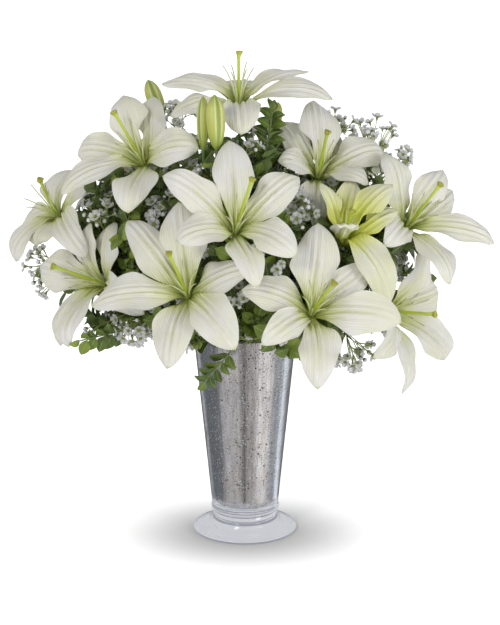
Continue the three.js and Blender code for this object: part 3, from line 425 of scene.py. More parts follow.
square = [(x * FLOOR_REACH, y * FLOOR_REACH, 0) for x, y in ((-1, -1), (1, -1), (1, 1), (-1, 1))]
floor_mesh = bpy.data.meshes.new("floor")
floor_mesh.from_pydata(square, [], [(0, 1, 2, 3)])
floor_mesh.materials.append(floor_material)
floor = bpy.data.objects.new("floor", floor_mesh)
scene.collection.objects.link(floor)
print("the floor is", 2 * FLOOR_REACH, "m wide and its strips have", len(STRIPS), "stops")

# %% [markdown]
# ## Effects that many finishes share
# Petals, leaves, buds and stems all have fine ribs that run along them, and no living surface has
# one even colour. The nodes could be copied into each material, but as node groups they are built
# once, and each finish uses them with its own spacing or size. A group only puts out values: the
# shader itself stays in the material.


# %% Shared node groups
def new_group(name, inputs, outputs):
    """An empty node group with the given sockets, each a (name, kind, default) triple."""
    group = bpy.data.node_groups.new(name, "ShaderNodeTree")
    for socket_name, kind, default in inputs:
        socket = group.interface.new_socket(socket_name, in_out="INPUT", socket_type=kind)
        if default is not None:
            socket.default_value = default
    for socket_name in outputs:
        group.interface.new_socket(socket_name, in_out="OUTPUT", socket_type="NodeSocketFloat")
    ends = group.nodes.new("NodeGroupInput"), group.nodes.new("NodeGroupOutput")
    return group, ends[0].outputs, ends[1].inputs


FLOAT, VECTOR = "NodeSocketFloat", "NodeSocketVector"

# Ribs: sin(2 pi (lane + 1.6 n)) by a soft strength, where lane counts spacings from the midrib and
# the noise n wanders slowly across and along, and differs from blade to blade.
sockets = [("Place", VECTOR, None), ("Spacing", FLOAT, 1.5)]
ribs, given, result = new_group("ribs_along", sockets, ["Height"])
place = put(ribs, "ShaderNodeSeparateXYZ", {0: given["Place"]}).outputs
lane = maths(ribs, "DIVIDE", place[0], given["Spacing"])
slow = {0: times(ribs, lane, 0.35), 1: times(ribs, place[1], 3.0), 2: times(ribs, place[2], 9.0)}
wander = noise(ribs, put(ribs, "ShaderNodeCombineXYZ", slow).outputs[0])
phase = times(ribs, plus(ribs, lane, times(ribs, wander, 1.6)), 2 * math.pi)
wave = spans(ribs, maths(ribs, "SINE", phase), -1.0, 1.0, smooth=False)
ribs.links.new(times(ribs, wave, spans(ribs, wander, 0.25, 0.7, 0.35, 1.0)), result["Height"])

# Mottle: soft clouds of one size, from 0 to 1.
sockets = [("Place", VECTOR, None), ("Size", FLOAT, 0.02)]
mottle, given, result = new_group("soft_mottle", sockets, ["Fac"])
cloud = noise(mottle, given["Place"], maths(mottle, "DIVIDE", 1.0, given["Size"]), 3.0)
mottle.links.new(spans(mottle, cloud, 0.3, 0.7), result["Fac"])


def marks_of(tree):
    """The three numbers that every point keeps: across, along and tone."""
    return put(tree, "ShaderNodeAttribute", attribute_name="place").outputs["Vector"]


def grown_finish(name, **plain):
    """A new material with what every grown surface reads: its three numbers apart, and its place."""
    material, tree, shader = new_material(name, **plain)
    split = put(tree, "ShaderNodeSeparateXYZ", {0: marks_of(tree)})
    here = put(tree, "ShaderNodeTexCoord").outputs["Object"]
    return material, tree, shader, split.outputs, here


def use_ribs(tree, spacing):
    """Ribs along a blade, this many millimetres apart."""
    sockets = {"Place": marks_of(tree), "Spacing": spacing}
    return put(tree, "ShaderNodeGroup", sockets, node_tree=ribs).outputs[0]


def use_mottle(tree, here, size):
    """Soft clouds, this many metres wide."""
    return put(tree, "ShaderNodeGroup", {"Place": here, "Size": size}, node_tree=mottle).outputs[0]


def bump(tree, shader, height, strength, distance):
    """Fine relief, this many metres deep."""
    sockets = {"Height": height, "Strength": strength, "Distance": distance}
    tree.links.new(put(tree, "ShaderNodeBump", sockets).outputs[0], shader.inputs["Normal"])


print("groups:", [g.name for g in bpy.data.node_groups])

# %% [markdown]
# ## The vase
# The vase is a pressed glass cup on a heavy clear foot, with a ring at the neck. It could be a mesh
# with a Screw modifier, but a profile turned in one array is shorter and its rounding is exact. The
# glass is thick at the foot and 3 mm at the wall, so it bends the light at both outlines. The
# grooves beside the ring and under the foot's edge look dark on the real one, because light gets
# lost in them, so shade is painted there: the glass is tinted darker.

# %% Vase profile
CUP_FLOOR, CUP_HEIGHT = 29.0, 215.0
RADIUS_LOW, RADIUS_RIM, WALL = 33.6, 52.6, 3
AROUND = 112  # points in each ring
CLOSE = 0.01  # the radius of a ring so small that it closes an end


def cup_radius(z):
    """Outside radius of the cup: a straight line from the floor to the rim."""
    return RADIUS_LOW + (RADIUS_RIM - RADIUS_LOW) * (z - CUP_FLOOR) / (CUP_HEIGHT - CUP_FLOOR)


foot = [(CLOSE, 0), (30, 0), (50.6, 0), (51.9, 0.5), (52.5, 1.6), (52.4, 2.7), (51.8, 3.7),
        (50.8, 4.2), (49.8, 4.2), (48.9, 3.9), (48.1, 4.0), (46.8, 4.8), (43.4, 6.1), (40.2, 7.2),
        (37.8, 8.2), (36, 9.2), (35.1, 10.2), (34.7, 11.2), (34.3, 12.2), (33.4, 13.1), (32.1, 13.6)]
neck = [(31.5, 14.1), (31.9, 15.2), (32.3, 16.6), (32.4, 17.8), (32.1, 19.2), (31.6, 20.4), (31.5, 21)]
collar = [(32.6, 21.6), (33.6, 22.5), (34.2, 23.6), (34.4, 24.8), (34.2, 26.2), (33.8, 27.6),
          (33.6, 29)]
wall = [(cup_radius(z), z) for z in np.linspace(36, CUP_HEIGHT - 1.6, 24)]
rim = [(52.55, 214.2), (52.3, 214.8), (51.8, 215), (51.0, 214.95), (50.2, 214.7), (49.6, 214.1)]
inside = [(cup_radius(z) - WALL, z) for z in np.linspace(208, 34, 24)]
floor_of_cup = [(30.7, 30.2), (29.8, 29.2), (27, 29), (CLOSE, 29)]
vase_points = turned(foot + neck + collar + wall + rim + inside + floor_of_cup, AROUND)
print("the vase's profile has", vase_points.shape[1], "points")

# %% Clear glass
GROOVES = ((0.0014, 0.0013), (0.0139, 0.0011), (0.0212, 0.0011))  # level and half height, metres
glass, tree, shader = new_material("clear_glass", Transmission_Weight=1.0, IOR=1.5)
here = put(tree, "ShaderNodeTexCoord").outputs["Object"]
smears = use_mottle(tree, here, 0.03)
clear = ramp(tree, smears, (0, (0.88, 0.9, 0.97)), (1, (0.93, 0.945, 0.995)))
level = put(tree, "ShaderNodeSeparateXYZ", {0: here}).outputs[2]
# Painted shade: the glass is tinted darker in the grooves, where light gets lost.
painted_groove_shade = 0.0
for middle, half in GROOVES:
    off = maths(tree, "ABSOLUTE", maths(tree, "SUBTRACT", level, middle))
    painted_groove_shade = maths(tree, "MAXIMUM", painted_groove_shade, spans(tree, off, 0.5 * half, half, 1.0, 0.0))
dress(tree, shader, mixed(tree, painted_groove_shade, clear, (0.2, 0.22, 0.28, 1)),
      spans(tree, smears, 0.0, 1.0, 0.0, 0.02))
bump(tree, shader, use_mottle(tree, here, 0.018), 0.08, 0.001)

make_piece("clear_vase", [marked(vase_points, 0, 0, 0)], glass, "clear_glass", "vase_glass")
print("vase triangles:", made["clear_vase"])

# %% [markdown]
# ## The old silver
# The inside of the glass is silvered and the silver has aged: small dark pits where it has come
# away, pale flecks, and faint upright runs. A painted picture could carry them, but a pattern worked
# out in space has no seam. The lining is its own thin cup. Its pits are cells of a Voronoi pattern,
# kept only where a large soft noise lets them through, so that they come in drifts.

# %% Silver lining
LINING_IN, FILM = 3.3, 0.6  # how far inside the cup's outline the lining lies, and its thickness


def lining_wall(low, high, further=0.0):
    """Points (radius, z) up or down the lining's side."""
    return [(cup_radius(z) - LINING_IN - further, z) for z in np.linspace(low, high, 30)]


lining = [(CLOSE, 29.3), (26, 29.3), (29.4, 29.6)] + lining_wall(31, 210)
lining += lining_wall(210, 31.6, FILM) + [(28.8, 30.1), (25, 29.9), (CLOSE, 29.9)]
print("the lining's profile has", len(lining), "points")

# %% Old silver
PIT_WIDTH, PIT_LEAST = 0.38, 1.12
silver, tree, shader = new_material("old_silver")
here = put(tree, "ShaderNodeTexCoord").outputs["Object"]
drift = use_mottle(tree, here, 0.028)
runs = noise(tree, stretched(tree, here, (330, 330, 11)), 1.0, 4.0, 0.6)
crumble = noise(tree, here, 700.0)


def voronoi(per_metre, channel):
    """How far a place is from its cell's middle, and a random number for the cell."""
    cells = put(tree, "ShaderNodeTexVoronoi", {"Vector": here, "Scale": per_metre}).outputs
    return cells["Distance"], put(tree, "ShaderNodeSeparateColor", {0: cells["Color"]}).outputs[channel]


def pit_layer(per_metre):
    """Ragged spots near the middles of cells, and only in the cells that a drift picks."""
    off, pick = voronoi(per_metre, 0)
    spot = plus(tree, off, times(tree, crumble, 0.35))
    picked = spans(tree, plus(tree, pick, times(tree, drift, 0.7)), PIT_LEAST, PIT_LEAST + 0.06)
    return times(tree, spans(tree, spot, PIT_WIDTH, PIT_WIDTH + 0.1, 1.0, 0.0), picked)


pits = maths(tree, "MAXIMUM", pit_layer(270.0), pit_layer(480.0))
off, pick = voronoi(400.0, 1)
flecks = times(tree, spans(tree, off, 0.26, 0.38, 1.0, 0.0), spans(tree, pick, 0.6, 0.66))
tone = ramp(tree, runs, (0.3, (0.56, 0.53, 0.48)), (0.5, (0.74, 0.71, 0.66)), (0.7, (0.9, 0.88, 0.85)))
tone = mixed(tree, times(tree, drift, 0.35), tone, (0.52, 0.53, 0.46, 1))
tone = mixed(tree, spans(tree, crumble, 0.52, 0.7, 0.0, 0.35), tone, (0.3, 0.28, 0.25, 1))
tone = mixed(tree, flecks, tone, (0.95, 0.95, 0.95, 1))
tone = mixed(tree, pits, tone, (0.09, 0.08, 0.065, 1))
dress(tree, shader, tone, spans(tree, runs, 0.3, 0.7, 0.24, 0.12))
deep_pits = times(tree, pits, 0.8)
dull = maths(tree, "MAXIMUM", deep_pits, times(tree, flecks, 0.6))
tree.links.new(maths(tree, "SUBTRACT", 1.0, dull), shader.inputs["Metallic"])
bump(tree, shader, maths(tree, "SUBTRACT", runs, deep_pits), 0.4, 0.0006)

lining_skin = marked(turned(lining, AROUND), 0, 0, 0)
make_piece("silver_lining", [lining_skin], silver, "silvering", "vase_silvering")
print("lining triangles:", made["silver_lining"])

# %% [markdown]
# ## The water
# Only its level shows, deep in the cup between the stems. The solid already has the right shape,
# with a hole for each stem, so it stays and gets a finish of its own: clear, a little green from
# the stems, with a ripple on it that only the light picks up.

# %% Water
water, tree, shader = new_material("vase_water", Transmission_Weight=1.0, IOR=1.33, Roughness=0.02)
here = put(tree, "ShaderNodeTexCoord").outputs["Object"]
cloudy = use_mottle(tree, here, 0.02)
tint = ramp(tree, cloudy, (0, (0.9, 0.95, 0.88)), (1, (0.96, 0.98, 0.94)))
tree.links.new(tint, shader.inputs["Base Color"])
bump(tree, shader, cloudy, 0.1, 0.0008)
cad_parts["water"].material_slots[0].material = water

# %% [markdown]
# ## The petals
# A lily has six tepals: three broad inner ones and three narrower outer ones. Each rises out of a
# small green cup, bends over and ends in a point. Its midrib is a Bezier curve. Across it the blade
# is hollow near the cup and turned down further out, with a groove down the middle, low ridges
# beside it and edges that wave. The tepals could be sculpted one by one, but one formula with
# a few numbers for each tepal gives eighty-four different ones that still belong together.

# %% Where the lilies are
# For each bloom, right, up and near in millimetres: its throat, the way it faces and the tip of its
# pistil from the throat. Then for its tepals, inner and outer by turns: the tip from the throat,
# the width, and by how many degrees the tip turns down.
LILIES = {
    "lily_top": ([-6, 201, 50], [0, 0.93, 0.36], [0, 52, 12],
                 [[-76, 24, 8, 32, 10], [-67, -10, 22, 30, 35], [3, -30, 50, 38, 60],
                  [93, 8, 12, 34, 35], [69, 39, -16, 28, 5], [4, 30, -62, 40, 35]]),
    "lily_upper_left": ([-99, 145, 60], [-0.22, 0.55, 0.8], [-27, 48, 25],
                        [[-80, -31, 34, 34, 35], [-67, 9, -10, 38, 60], [-21, 70, -14, 40, 20],
                         [8, 70, -24, 34, 20], [56, 12, 36, 38, 45], [-12, -51, 52, 38, 55]]),
    "lily_centre": ([-9, 76, 122], [0.08, 0.5, 0.86], [16, 49, 28],
                    [[-56, -9, 44, 40, 35], [-70, 54, 12, 34, 35], [-6, 90, -12, 40, 20],
                     [62, 54, 2, 38, 35], [58, -24, 44, 38, 35], [21, -53, 50, 30, 35]]),
    "lily_front_left": ([-54, 15, 118], [-0.12, 0.42, 0.9], [-17, 40, 38],
                        [[-92, -7, 26, 44, 35], [-60, 75, -24, 34, 35], [-10, 92, -6, 44, 20],
                         [60, 28, 10, 34, 35], [46, -50, 58, 42, 35], [-19, -68, 50, 40, 35]]),
    "lily_front_right": ([63, -2, 122], [0.15, 0.4, 0.9], [20, 29, 46],
                         [[-47, -29, 54, 30, 35], [-67, 25, 26, 40, 35], [7, 89, -8, 44, 20],
                          [60, 46, -10, 32, 35], [86, -8, 20, 42, 35], [5, -70, 52, 38, 35]]),
    "lily_right": ([159, 84, 50], [0.35, 0.45, 0.82], [30, 40, 28],
                   [[-25, -21, 56, 30, 35], [-22, 74, 0, 36, 35], [37, 58, -14, 34, 15],
                    [48, 38, -24, 34, 25], [87, -16, 2, 30, 35], [40, -58, 46, 38, 50]]),
    "lily_upper_right": ([72, 133, 35], [0.12, 0.6, 0.79], [8, 42, 34],
                         [[-41, 16, 28, 32, 35], [-38, 58, -20, 32, 35], [-3, 80, -22, 40, 15],
                          [67, 25, -6, 40, 55], [50, -8, 36, 32, 35], [-5, -50, 36, 34, 35]]),
    "lily_left": ([-137, 27, 50], [-0.62, 0.28, 0.73], [-49, 18, 22],
                  [[-33, -62, 40, 28, 60], [-67, 20, -16, 44, 20], [-18, 62, -8, 30, 35],
                   [9, 64, -2, 32, 35], [40, -30, 55, 30, 35], [-46, -61, 0, 30, 60]]),
    "lily_far_left": ([-185, 95, 5], [-0.5, 0.5, 0.7], [-16, 35, 40],
                      [[-44, -46, 12, 30, 70], [-42, -14, -22, 30, 50], [15, 50, -16, 36, 35],
                       [42, 50, -8, 32, 35], [32, -42, 62, 28, 60], [-22, -30, 20, 30, 60]]),
    "lily_lower_right": ([137, 1, 45], [0.8, 0.05, 0.6], [47, -3, 30],
                         [[-14, -46, 64, 30, 50], [-12, 40, 62, 30, 35], [40, 64, 0, 34, 35],
                          [56, 24, -34, 38, 35], [61, -50, -14, 36, 45], [18, -82, 14, 26, 45]]),
    "lily_half_open": ([96, 70, 88], [0.12, 0.72, 0.68], [6, 26, 24],
                       [[-22, 56, 6, 26, -10], [10, 62, -20, 30, -10], [46, 55, 6, 34, -5],
                        [52, 30, 2, 28, 0], [42, -64, 34, 38, 70], [2, 8, 42, 24, 60]]),
}
# The lilies at the back are laid out by rule: place, azimuth, lean from upright and size.
BACK_LILIES = {
    "lily_back_left": ([-100, 92, 322], 136, 52, 82),
    "lily_back_right": ([92, 100, 326], 46, 52, 84),
    "lily_back_low": ([-4, 128, 268], 92, 68, 86),
}
THROAT_RADIUS, ROOT_EVENNESS, CUP_LENGTH = 4.0, 0.8, 9.0
SHOWN = {"lily_top": 0.26}  # a bloom seen from the side rolls its tepals this much to the front


def front_bloom(throat, faces, reach, tips):
    """A bloom as listed. Each tip becomes (offset, width, droop)."""
    tepals = [(seen(*tip[:3]), tip[3], math.radians(tip[4])) for tip in tips]
    return {"throat": seen_at(*throat), "faces": unit(seen(*faces)), "reach": seen(*reach),
            "tips": tepals}


def back_bloom(throat, turn, lean, size):
    """Six even tepals about an axis that looks out at the azimuth `turn` and leans from upright."""
    turn, lean = math.radians(turn), math.radians(lean)
    faces = np.array([math.cos(turn) * math.sin(lean), math.sin(turn) * math.sin(lean), math.cos(lean)])
    side = unit(np.cross(faces, [0, 0, 1]))
    up = np.cross(side, faces)
    tips = []
    for k in range(6):
        a, reach = math.radians(60 * k + 30), size * (0.86 if k % 2 else 0.9)
        offset = side * math.cos(a) * reach + up * math.sin(a) * reach + faces * size * 0.4
        tips.append((offset, 30 if k % 2 else 40, math.pi / 5))
    return {"throat": np.array(throat, float), "faces": faces,
            "reach": (faces * 0.66 + up * 0.14) * size, "tips": tips}


blooms = {name: front_bloom(*data) for name, data in LILIES.items()}
blooms.update({name: back_bloom(*data) for name, data in BACK_LILIES.items()})
for name, bloom in blooms.items():
    bloom["shown"] = SHOWN.get(name, 0)
    bloom["side"] = unit(np.cross(bloom["faces"], [0.3, 0.2, 0.9]))
    bloom["base"] = bloom["throat"] - CUP_LENGTH * bloom["faces"]
print("blooms:", len(blooms))


# %% The tepals' roots round the throat
SIXTHS = 2 * math.pi * np.arange(6) / 6


def arrange(bloom):
    """Sorts the tepals round the throat and spaces their roots nearly evenly, as the solids have
    them. A gap is the angle from one tepal to the next."""
    faces, right = bloom["faces"], bloom["side"]
    up = np.cross(faces, right)
    tepals = []
    for k, (offset, width, droop) in enumerate(bloom["tips"]):
        flat = offset - faces * (offset @ faces)
        tepals.append({"offset": offset, "width": width, "droop": droop, "out": unit(flat),
                       "angle": math.atan2(flat @ up, flat @ right), "outer": k % 2 == 1})
    tepals.sort(key=lambda t: t["angle"])
    angles = np.array([t["angle"] for t in tepals])
    start = (angles - SIXTHS).mean()
    roots = angles + ROOT_EVENNESS * (start + SIXTHS - angles)
    gaps = (np.roll(roots, -1) - roots) % (2 * math.pi)
    ends = (np.roll(angles, -1) - angles) % (2 * math.pi)
    for k, tepal in enumerate(tepals):
        tepal["root_angle"] = roots[k]
        tepal["half_gaps"] = (gaps[k - 1] / 2, gaps[k] / 2)
        tepal["end_gaps"] = (ends[k - 1] / 2, ends[k] / 2)
    return tepals, lambda a: right * np.cos(a)[..., None] + up * np.sin(a)[..., None]


# %% One tepal
ROWS, COLUMNS = 36, 31
THICK = 1.0  # of a tepal at its claw
TOP, UNDER, FOLDED = 0.0, 2.0, 4  # what a side of the blade, or one folded far back, adds to its tone


def spread(v):
    """0.06 (1-v)^3 + sin(pi v^1.12)^p with p from 0.95 at the claw to 0.64 at the blunt tip."""
    blunt = 0.95 - 0.31 * ease(v, 0.3, 0.95)
    return 0.06 * (1 - v) ** 3 + np.maximum(np.sin(math.pi * v**1.12), 0) ** blunt


def ridge(d, at, width):
    """exp(-((d - at) / width)^2): a soft ridge that runs along the blade, `at` from its midrib."""
    return np.exp(-(((d - at) / width) ** 2))


def tepal_skin(bloom, tepal, away, rng):
    """midrib(v) + side(v) s half(v) + up(v) rise(v, s), over the blade and back under it.
    v runs from claw to tip and s from edge to edge. The midrib leaves the throat along `lift` and
    ends along `arrive`. half is the leaf's own outline, kept inside the room between its
    neighbours near the claw. rise is a hollow (half c(v) s^2), less grooves on the midrib and 6.2
    from it, plus ridges 3.2 and 9 from it, plus edge waves |s|^2.2 sin(2 pi k v + phase) and a
    curl |s|^8 at the very edge. The blade then rolls about its midrib by a chance twist and, where
    the bloom is `shown`, towards the front."""
    throat, faces, width = bloom["throat"], bloom["faces"], tepal["width"]
    v = np.linspace(0, 1, ROWS)
    s = np.linspace(-1, 1, COLUMNS)
    s = s * (1.2 - 0.2 * s**2)
    root_out = away(np.array(tepal["root_angle"]))
    out, outer, length = tepal["out"], tepal["outer"], np.linalg.norm(tepal["offset"])
    root, end = throat + THROAT_RADIUS * root_out, throat + tepal["offset"]
    lift = faces * (0.66 if outer else 0.84) + root_out * (0.62 if outer else 0.44)
    arrive = out * math.cos(tepal["droop"]) - faces * math.sin(tepal["droop"])
    middle, along = bezier(root, root + lift * 0.34 * length, end - arrive * 0.4 * length, end, v)
    across = unit(np.cross(faces, root_out + (out - root_out) * v[:, None]))
    up = unit(np.cross(along, across))
    side = np.cross(up, along)

    off_axis = middle - throat
    off_axis = np.linalg.norm(off_axis - (off_axis @ faces)[:, None] * faces, axis=1)
    gap = np.where(s < 0, *tepal["half_gaps"])
    end_gap = np.where(s < 0, *tepal["end_gaps"])
    half_gap = np.minimum(gap + (end_gap - gap) * ease(v, 0, 0.6)[:, None], 0.95)
    room = (off_axis * 1.08)[:, None] * np.tan(half_gap)
    uneven = 1 + 0.04 * np.sin(2 * math.pi * (1.6 * v[:, None] + rng.random()) + np.sign(s))
    full = np.maximum((spread(v) * width / 2)[:, None] * uneven, 0.3)
    tight = (np.maximum(full, np.minimum(room, 1.4 * full)) ** -4 + room**-4) ** -0.25
    half = tight + (full - tight) * ease(v, 0.38, 0.62)[:, None]

    d = np.abs(s) * half
    body = np.sin(math.pi * v**0.7)[:, None]
    hollow = (0.1 if outer else 0.5) * (1 - v) ** 2 - 0.2 * v
    rise = half * hollow[:, None] * s**2
    rise += body * (1.7 * ridge(d, 3.2, 1.5) - 1.9 * ridge(d, 0, 1.3))
    rise += body * (0.6 * ridge(d, 9, 1.8) - 0.8 * ridge(d, 6.2, 1.4))
    phase = np.where(s < 0, rng.random(), rng.random()) * 2 * math.pi
    waves = 1.7 + 1.1 * rng.random()
    wave = np.sin(2 * math.pi * waves * v[:, None] + phase) + 0.35 * np.sin(14 * v[:, None] + 2 * phase)
    rise += 0.07 * width * min(1, length / 75) ** 2 * np.abs(s) ** 2.2 * wave * body
    rise += np.where(s < 0, *rng.uniform(-0.6, 2.2, 2)) * np.abs(s) ** 8 * body
    rise -= (2.2 * ease(v, 0.78, 1) ** 2)[:, None] + 0.14 * half * s**2 * ease(v, 0.6, 0.95)[:, None]
    roll = bloom["shown"] * side[:, 1:2] * ease(v, 0, 0.5)[:, None]
    twist = 0.2 * rng.normal() * v[:, None] + roll
    flat = s * half * np.cos(twist) - rise * np.sin(twist)
    tall = s * half * np.sin(twist) + rise * np.cos(twist)
    top = middle[:, None] + side[:, None] * flat[..., None] + up[:, None] * tall[..., None]

    ring = throat + THROAT_RADIUS * away(tepal["root_angle"] + s * gap)
    top = top + (ring[None] - top) * (1 - ease(v, 0, 0.17))[:, None, None]
    thick = (THICK - 0.45 * v)[:, None] * (1 - 0.55 * s**2)
    under = top - up[:, None] * thick[..., None]
    points = np.concatenate([top[:, ::-1], under], 1)
    far = np.concatenate([(s * half)[:, ::-1], s * half], 1)
    tone = np.repeat([TOP, UNDER], COLUMNS) + rng.random() + (FOLDED if tepal["droop"] > 1 else 0)
    # At the claws' edges, where neighbouring tepals meet in the throat, the along-number drops below
    # zero; the finish paints shade there.
    seam = (0.14 + v)[:, None] * np.abs(s) ** 14 * (1 - ease(v, 0.16, 0.3))[:, None]
    return marked(points, far, v[:, None] - np.concatenate([seam[:, ::-1], seam], 1), tone)


# %% [markdown]
# ## The colour of a petal
# Lilies are white only at first sight. Deep in the throat they are olive green, then yellow green,
# and the green runs out along the ribs. The midrib keeps a green line nearly to the tip, and the
# very tip is green again. The half-open bloom is greener all over. The colours could be painted on
# each blade; here they follow the numbers that every point keeps, so one function makes the finish
# of the white blooms and of the green one. The blade lets light through, so some of it is scattered
# under the skin. Two marks are painted shade: dark green along the claws' edges, where neighbouring
# tepals meet in the throat, and a faint darkening in the hollows between the ribs.


# %% Petal finish
def petal_finish(name, throat, blush, blade, green_from, green_to, faster=0.0):
    """White blade, green throat. The green fades out between the two given shares of the length,
    and the more by `faster` on a tepal that is folded far back."""
    material, tree, shader, place, here = grown_finish(
        name, Subsurface_Weight=0.2, Subsurface_Radius=(1.0, 1.0, 0.7), Subsurface_Scale=0.002,
        Specular_IOR_Level=0.35)
    rib = use_ribs(tree, 2.3)
    streak = times(tree, maths(tree, "SUBTRACT", rib, 0.5), 0.12)
    folded = times(tree, spans(tree, place[2], 3.4, 3.6), faster)
    v = plus(tree, times(tree, place[1], plus(tree, folded, 1.0)), streak)
    soft = use_mottle(tree, here, 0.03)
    white = mixed(tree, soft, blade, (blade[0] * 0.95, blade[1] * 0.955, blade[2] * 0.82, 1))
    colour = mixed(tree, spans(tree, v, green_from, green_to), blush, white)
    colour = mixed(tree, spans(tree, v, 0.02, 0.24), throat, colour)
    # Painted shade: dark green where the claws' edges meet in the throat.
    colour = mixed(tree, spans(tree, place[1], -0.08, -0.01), (0.06, 0.09, 0.01, 1), colour)
    off = maths(tree, "ABSOLUTE", place[0])
    fading = spans(tree, place[1], 0.1, 0.85, 0.55, 0.0)
    line = times(tree, spans(tree, off, 0.5, 2.6, 1.0, 0.0), fading)
    colour = mixed(tree, line, colour, blush)
    tip = times(tree, spans(tree, place[1], 0.955, 1.0), 0.8)
    colour = mixed(tree, tip, colour, (0.55, 0.62, 0.25, 1))
    # Painted shade: the hollows between the ribs a little darker.
    shade = grey(tree, spans(tree, rib, 0.0, 1.0, 0.93, 1.0))
    dress(tree, shader, mixed(tree, 1.0, colour, shade, "MULTIPLY"),
          spans(tree, soft, 0.0, 1.0, 0.42, 0.56))
    bump(tree, shader, rib, 0.45, 0.0006)
    return material


PETALS = {
    "white_petal": petal_finish("white_petal", (0.33, 0.38, 0.06, 1), (0.72, 0.76, 0.36, 1),
                                (0.92, 0.908, 0.84, 1), 0.1, 0.46),
    "greenish_petal": petal_finish("green_petal", (0.52, 0.58, 0.04, 1), (0.76, 0.8, 0.14, 1),
                                   (0.92, 0.92, 0.74, 1), 0.3, 0.95, 1.1),
}
print("petal finishes:", list(PETALS))

# %% Make the blooms
CUP = [(0.05, -9.2), (1.5, -9.2), (2.0, -8), (3.0, -6), (4.2, -3.6), (5.0, -1.6), (5.3, -0.3),
       (5.0, 0.4), (4.4, 0.5), (3.8, -0.2), (2.6, -0.5), (0.05, -0.5)]
petal_cloud = []  # every second row and third column of the tepals, for clearances
for number, (name, bloom) in enumerate(blooms.items()):
    rng = np.random.default_rng(100 + number)
    tepals, away = arrange(bloom)
    skins = [tepal_skin(bloom, tepal, away, rng) for tepal in tepals]
    petal_cloud += [points[0, ::2, :COLUMNS:3].reshape(-1, 3) for points, _ in skins]
    skins.append(marked(turned(CUP, 24, bloom["throat"], bloom["faces"]), 3.0, 0.03, 0.5))
    slot = "greenish_petal" if name == "lily_half_open" else "white_petal"
    make_piece(name + "_petals", skins, PETALS[slot], slot, name + "_tepals")
petal_cloud = np.concatenate(petal_cloud).astype(np.float32)
print("triangles in one bloom:", made["lily_top_petals"], "points for clearance:", len(petal_cloud))

# %% [markdown]
# ## The heart of each bloom
# In the middle stands the pistil: a swollen green foot, a slender style and a stigma of three
# lobes. Round it are six thin filaments. Florists pinch off the pollen, so they end bare. Curves
# with a bevel could make them, but a stigma needs a ring that isn't round, so these are skins too.
# The style follows the solid's curve through the same three points, and the filaments end at the
# solid's tips but bow outwards on the way.


# %% Pistil and filaments
STYLE_AT = [0, 0.05, 0.14, 0.24, 0.34, 0.6, 0.86, 0.94, 1.0]
STYLE_RADII = [1.6, 2.3, 2.5, 2.2, 1.6, 1.45, 1.6, 2.2, 3.1]
STIGMA_RADII = [3.5, 3.0, 1.2]
STYLE_ROWS, STYLE_AROUND = 20, 15
FILAMENT_RADII = np.r_[np.linspace(0.95, 0.55, 12), 0.5, 0.2]


def heart_skins(bloom):
    """Style: a parabola through foot, bend and top with r(t) for its swelling; the stigma's radius is
    r (1 + 0.2 cos 3u). Filaments: Bezier curves with a radius that falls from 0.95 to 0.5."""
    throat, faces, reach = bloom["throat"], bloom["faces"], bloom["reach"]
    side = unit(reach - faces * (reach @ faces))
    up = np.cross(faces, side)
    long = np.linalg.norm(reach)
    start, top = throat + 1.2 * faces, throat + reach
    bend = (throat + 2.4 * faces + top) / 2 + faces * 0.12 * long
    t = np.linspace(0, 1, STYLE_ROWS)[:, None]
    style = (1 - t) ** 2 * start + 2 * t * (1 - t) * bend + t**2 * top
    axis = unit(style[-1] - style[-2])
    path = np.concatenate([style, top + axis * np.array([[0.9], [1.7], [2.1]])])
    radii = np.r_[np.interp(t[:, 0], STYLE_AT, STYLE_RADII), STIGMA_RADII]
    u = 2 * math.pi * np.arange(STYLE_AROUND) / STYLE_AROUND
    plain = np.zeros(STYLE_ROWS - 2)
    lobes = np.r_[plain, 0.1, 0.2, 0.24, 0.24, 0.2]
    ring = radii[:, None] * (1 + lobes[:, None] * np.cos(3 * u))
    kind = np.r_[plain, 0.5, np.ones(4)][:, None]
    along = np.linspace(0, 1, len(path))[:, None]
    skins = [marked(tubes(path, ring[None], STYLE_AROUND), 0, along, kind)]

    k = np.arange(6)  # the six filaments, all as one batch
    a = (math.pi / 3 * (k + 0.5))[:, None]
    spoke = side * np.cos(a) + up * np.sin(a)
    height = long * np.where(k % 2, 0.84, 0.78)[:, None]
    foot = throat + 2.4 * faces
    tip = foot + faces * 0.9 * height + spoke * 0.36 * height
    lower = foot + faces * 0.35 * height + spoke * (2.2 + 0.03 * height)
    higher = foot + faces * 0.7 * height + spoke * 0.2 * height
    t = np.linspace(0, 1, len(FILAMENT_RADII))
    paths, _ = bezier(foot - faces * 0.8 + spoke * 1.9, lower, higher, tip, t)
    skins.append(marked(tubes(paths, FILAMENT_RADII, 7), 0, t[:, None], 2.0))
    return skins


# %% Pistil finish
pistil_finish, tree, shader, place, here = grown_finish(
    "pistil", Subsurface_Weight=0.15, Subsurface_Scale=0.001)
soft = use_mottle(tree, here, 0.004)
style_green = ramp(tree, place[1], (0, (0.42, 0.52, 0.06)), (0.5, (0.55, 0.66, 0.08)),
                   (1, (0.62, 0.7, 0.12)))
stigma = mixed(tree, soft, (0.3, 0.34, 0.03, 1), (0.5, 0.5, 0.08, 1))
pale = ramp(tree, place[1], (0, (0.6, 0.68, 0.24)), (0.5, (0.8, 0.84, 0.5)), (0.8, (0.6, 0.62, 0.34)),
            (1, (0.36, 0.34, 0.2)))
colour = mixed(tree, spans(tree, place[2], 0.3, 0.9), style_green, stigma)
colour = mixed(tree, spans(tree, place[2], 1.4, 1.6), colour, pale)
dress(tree, shader, colour, spans(tree, soft, 0.0, 1.0, 0.3, 0.5))
bump(tree, shader, soft, 0.3, 0.0003)

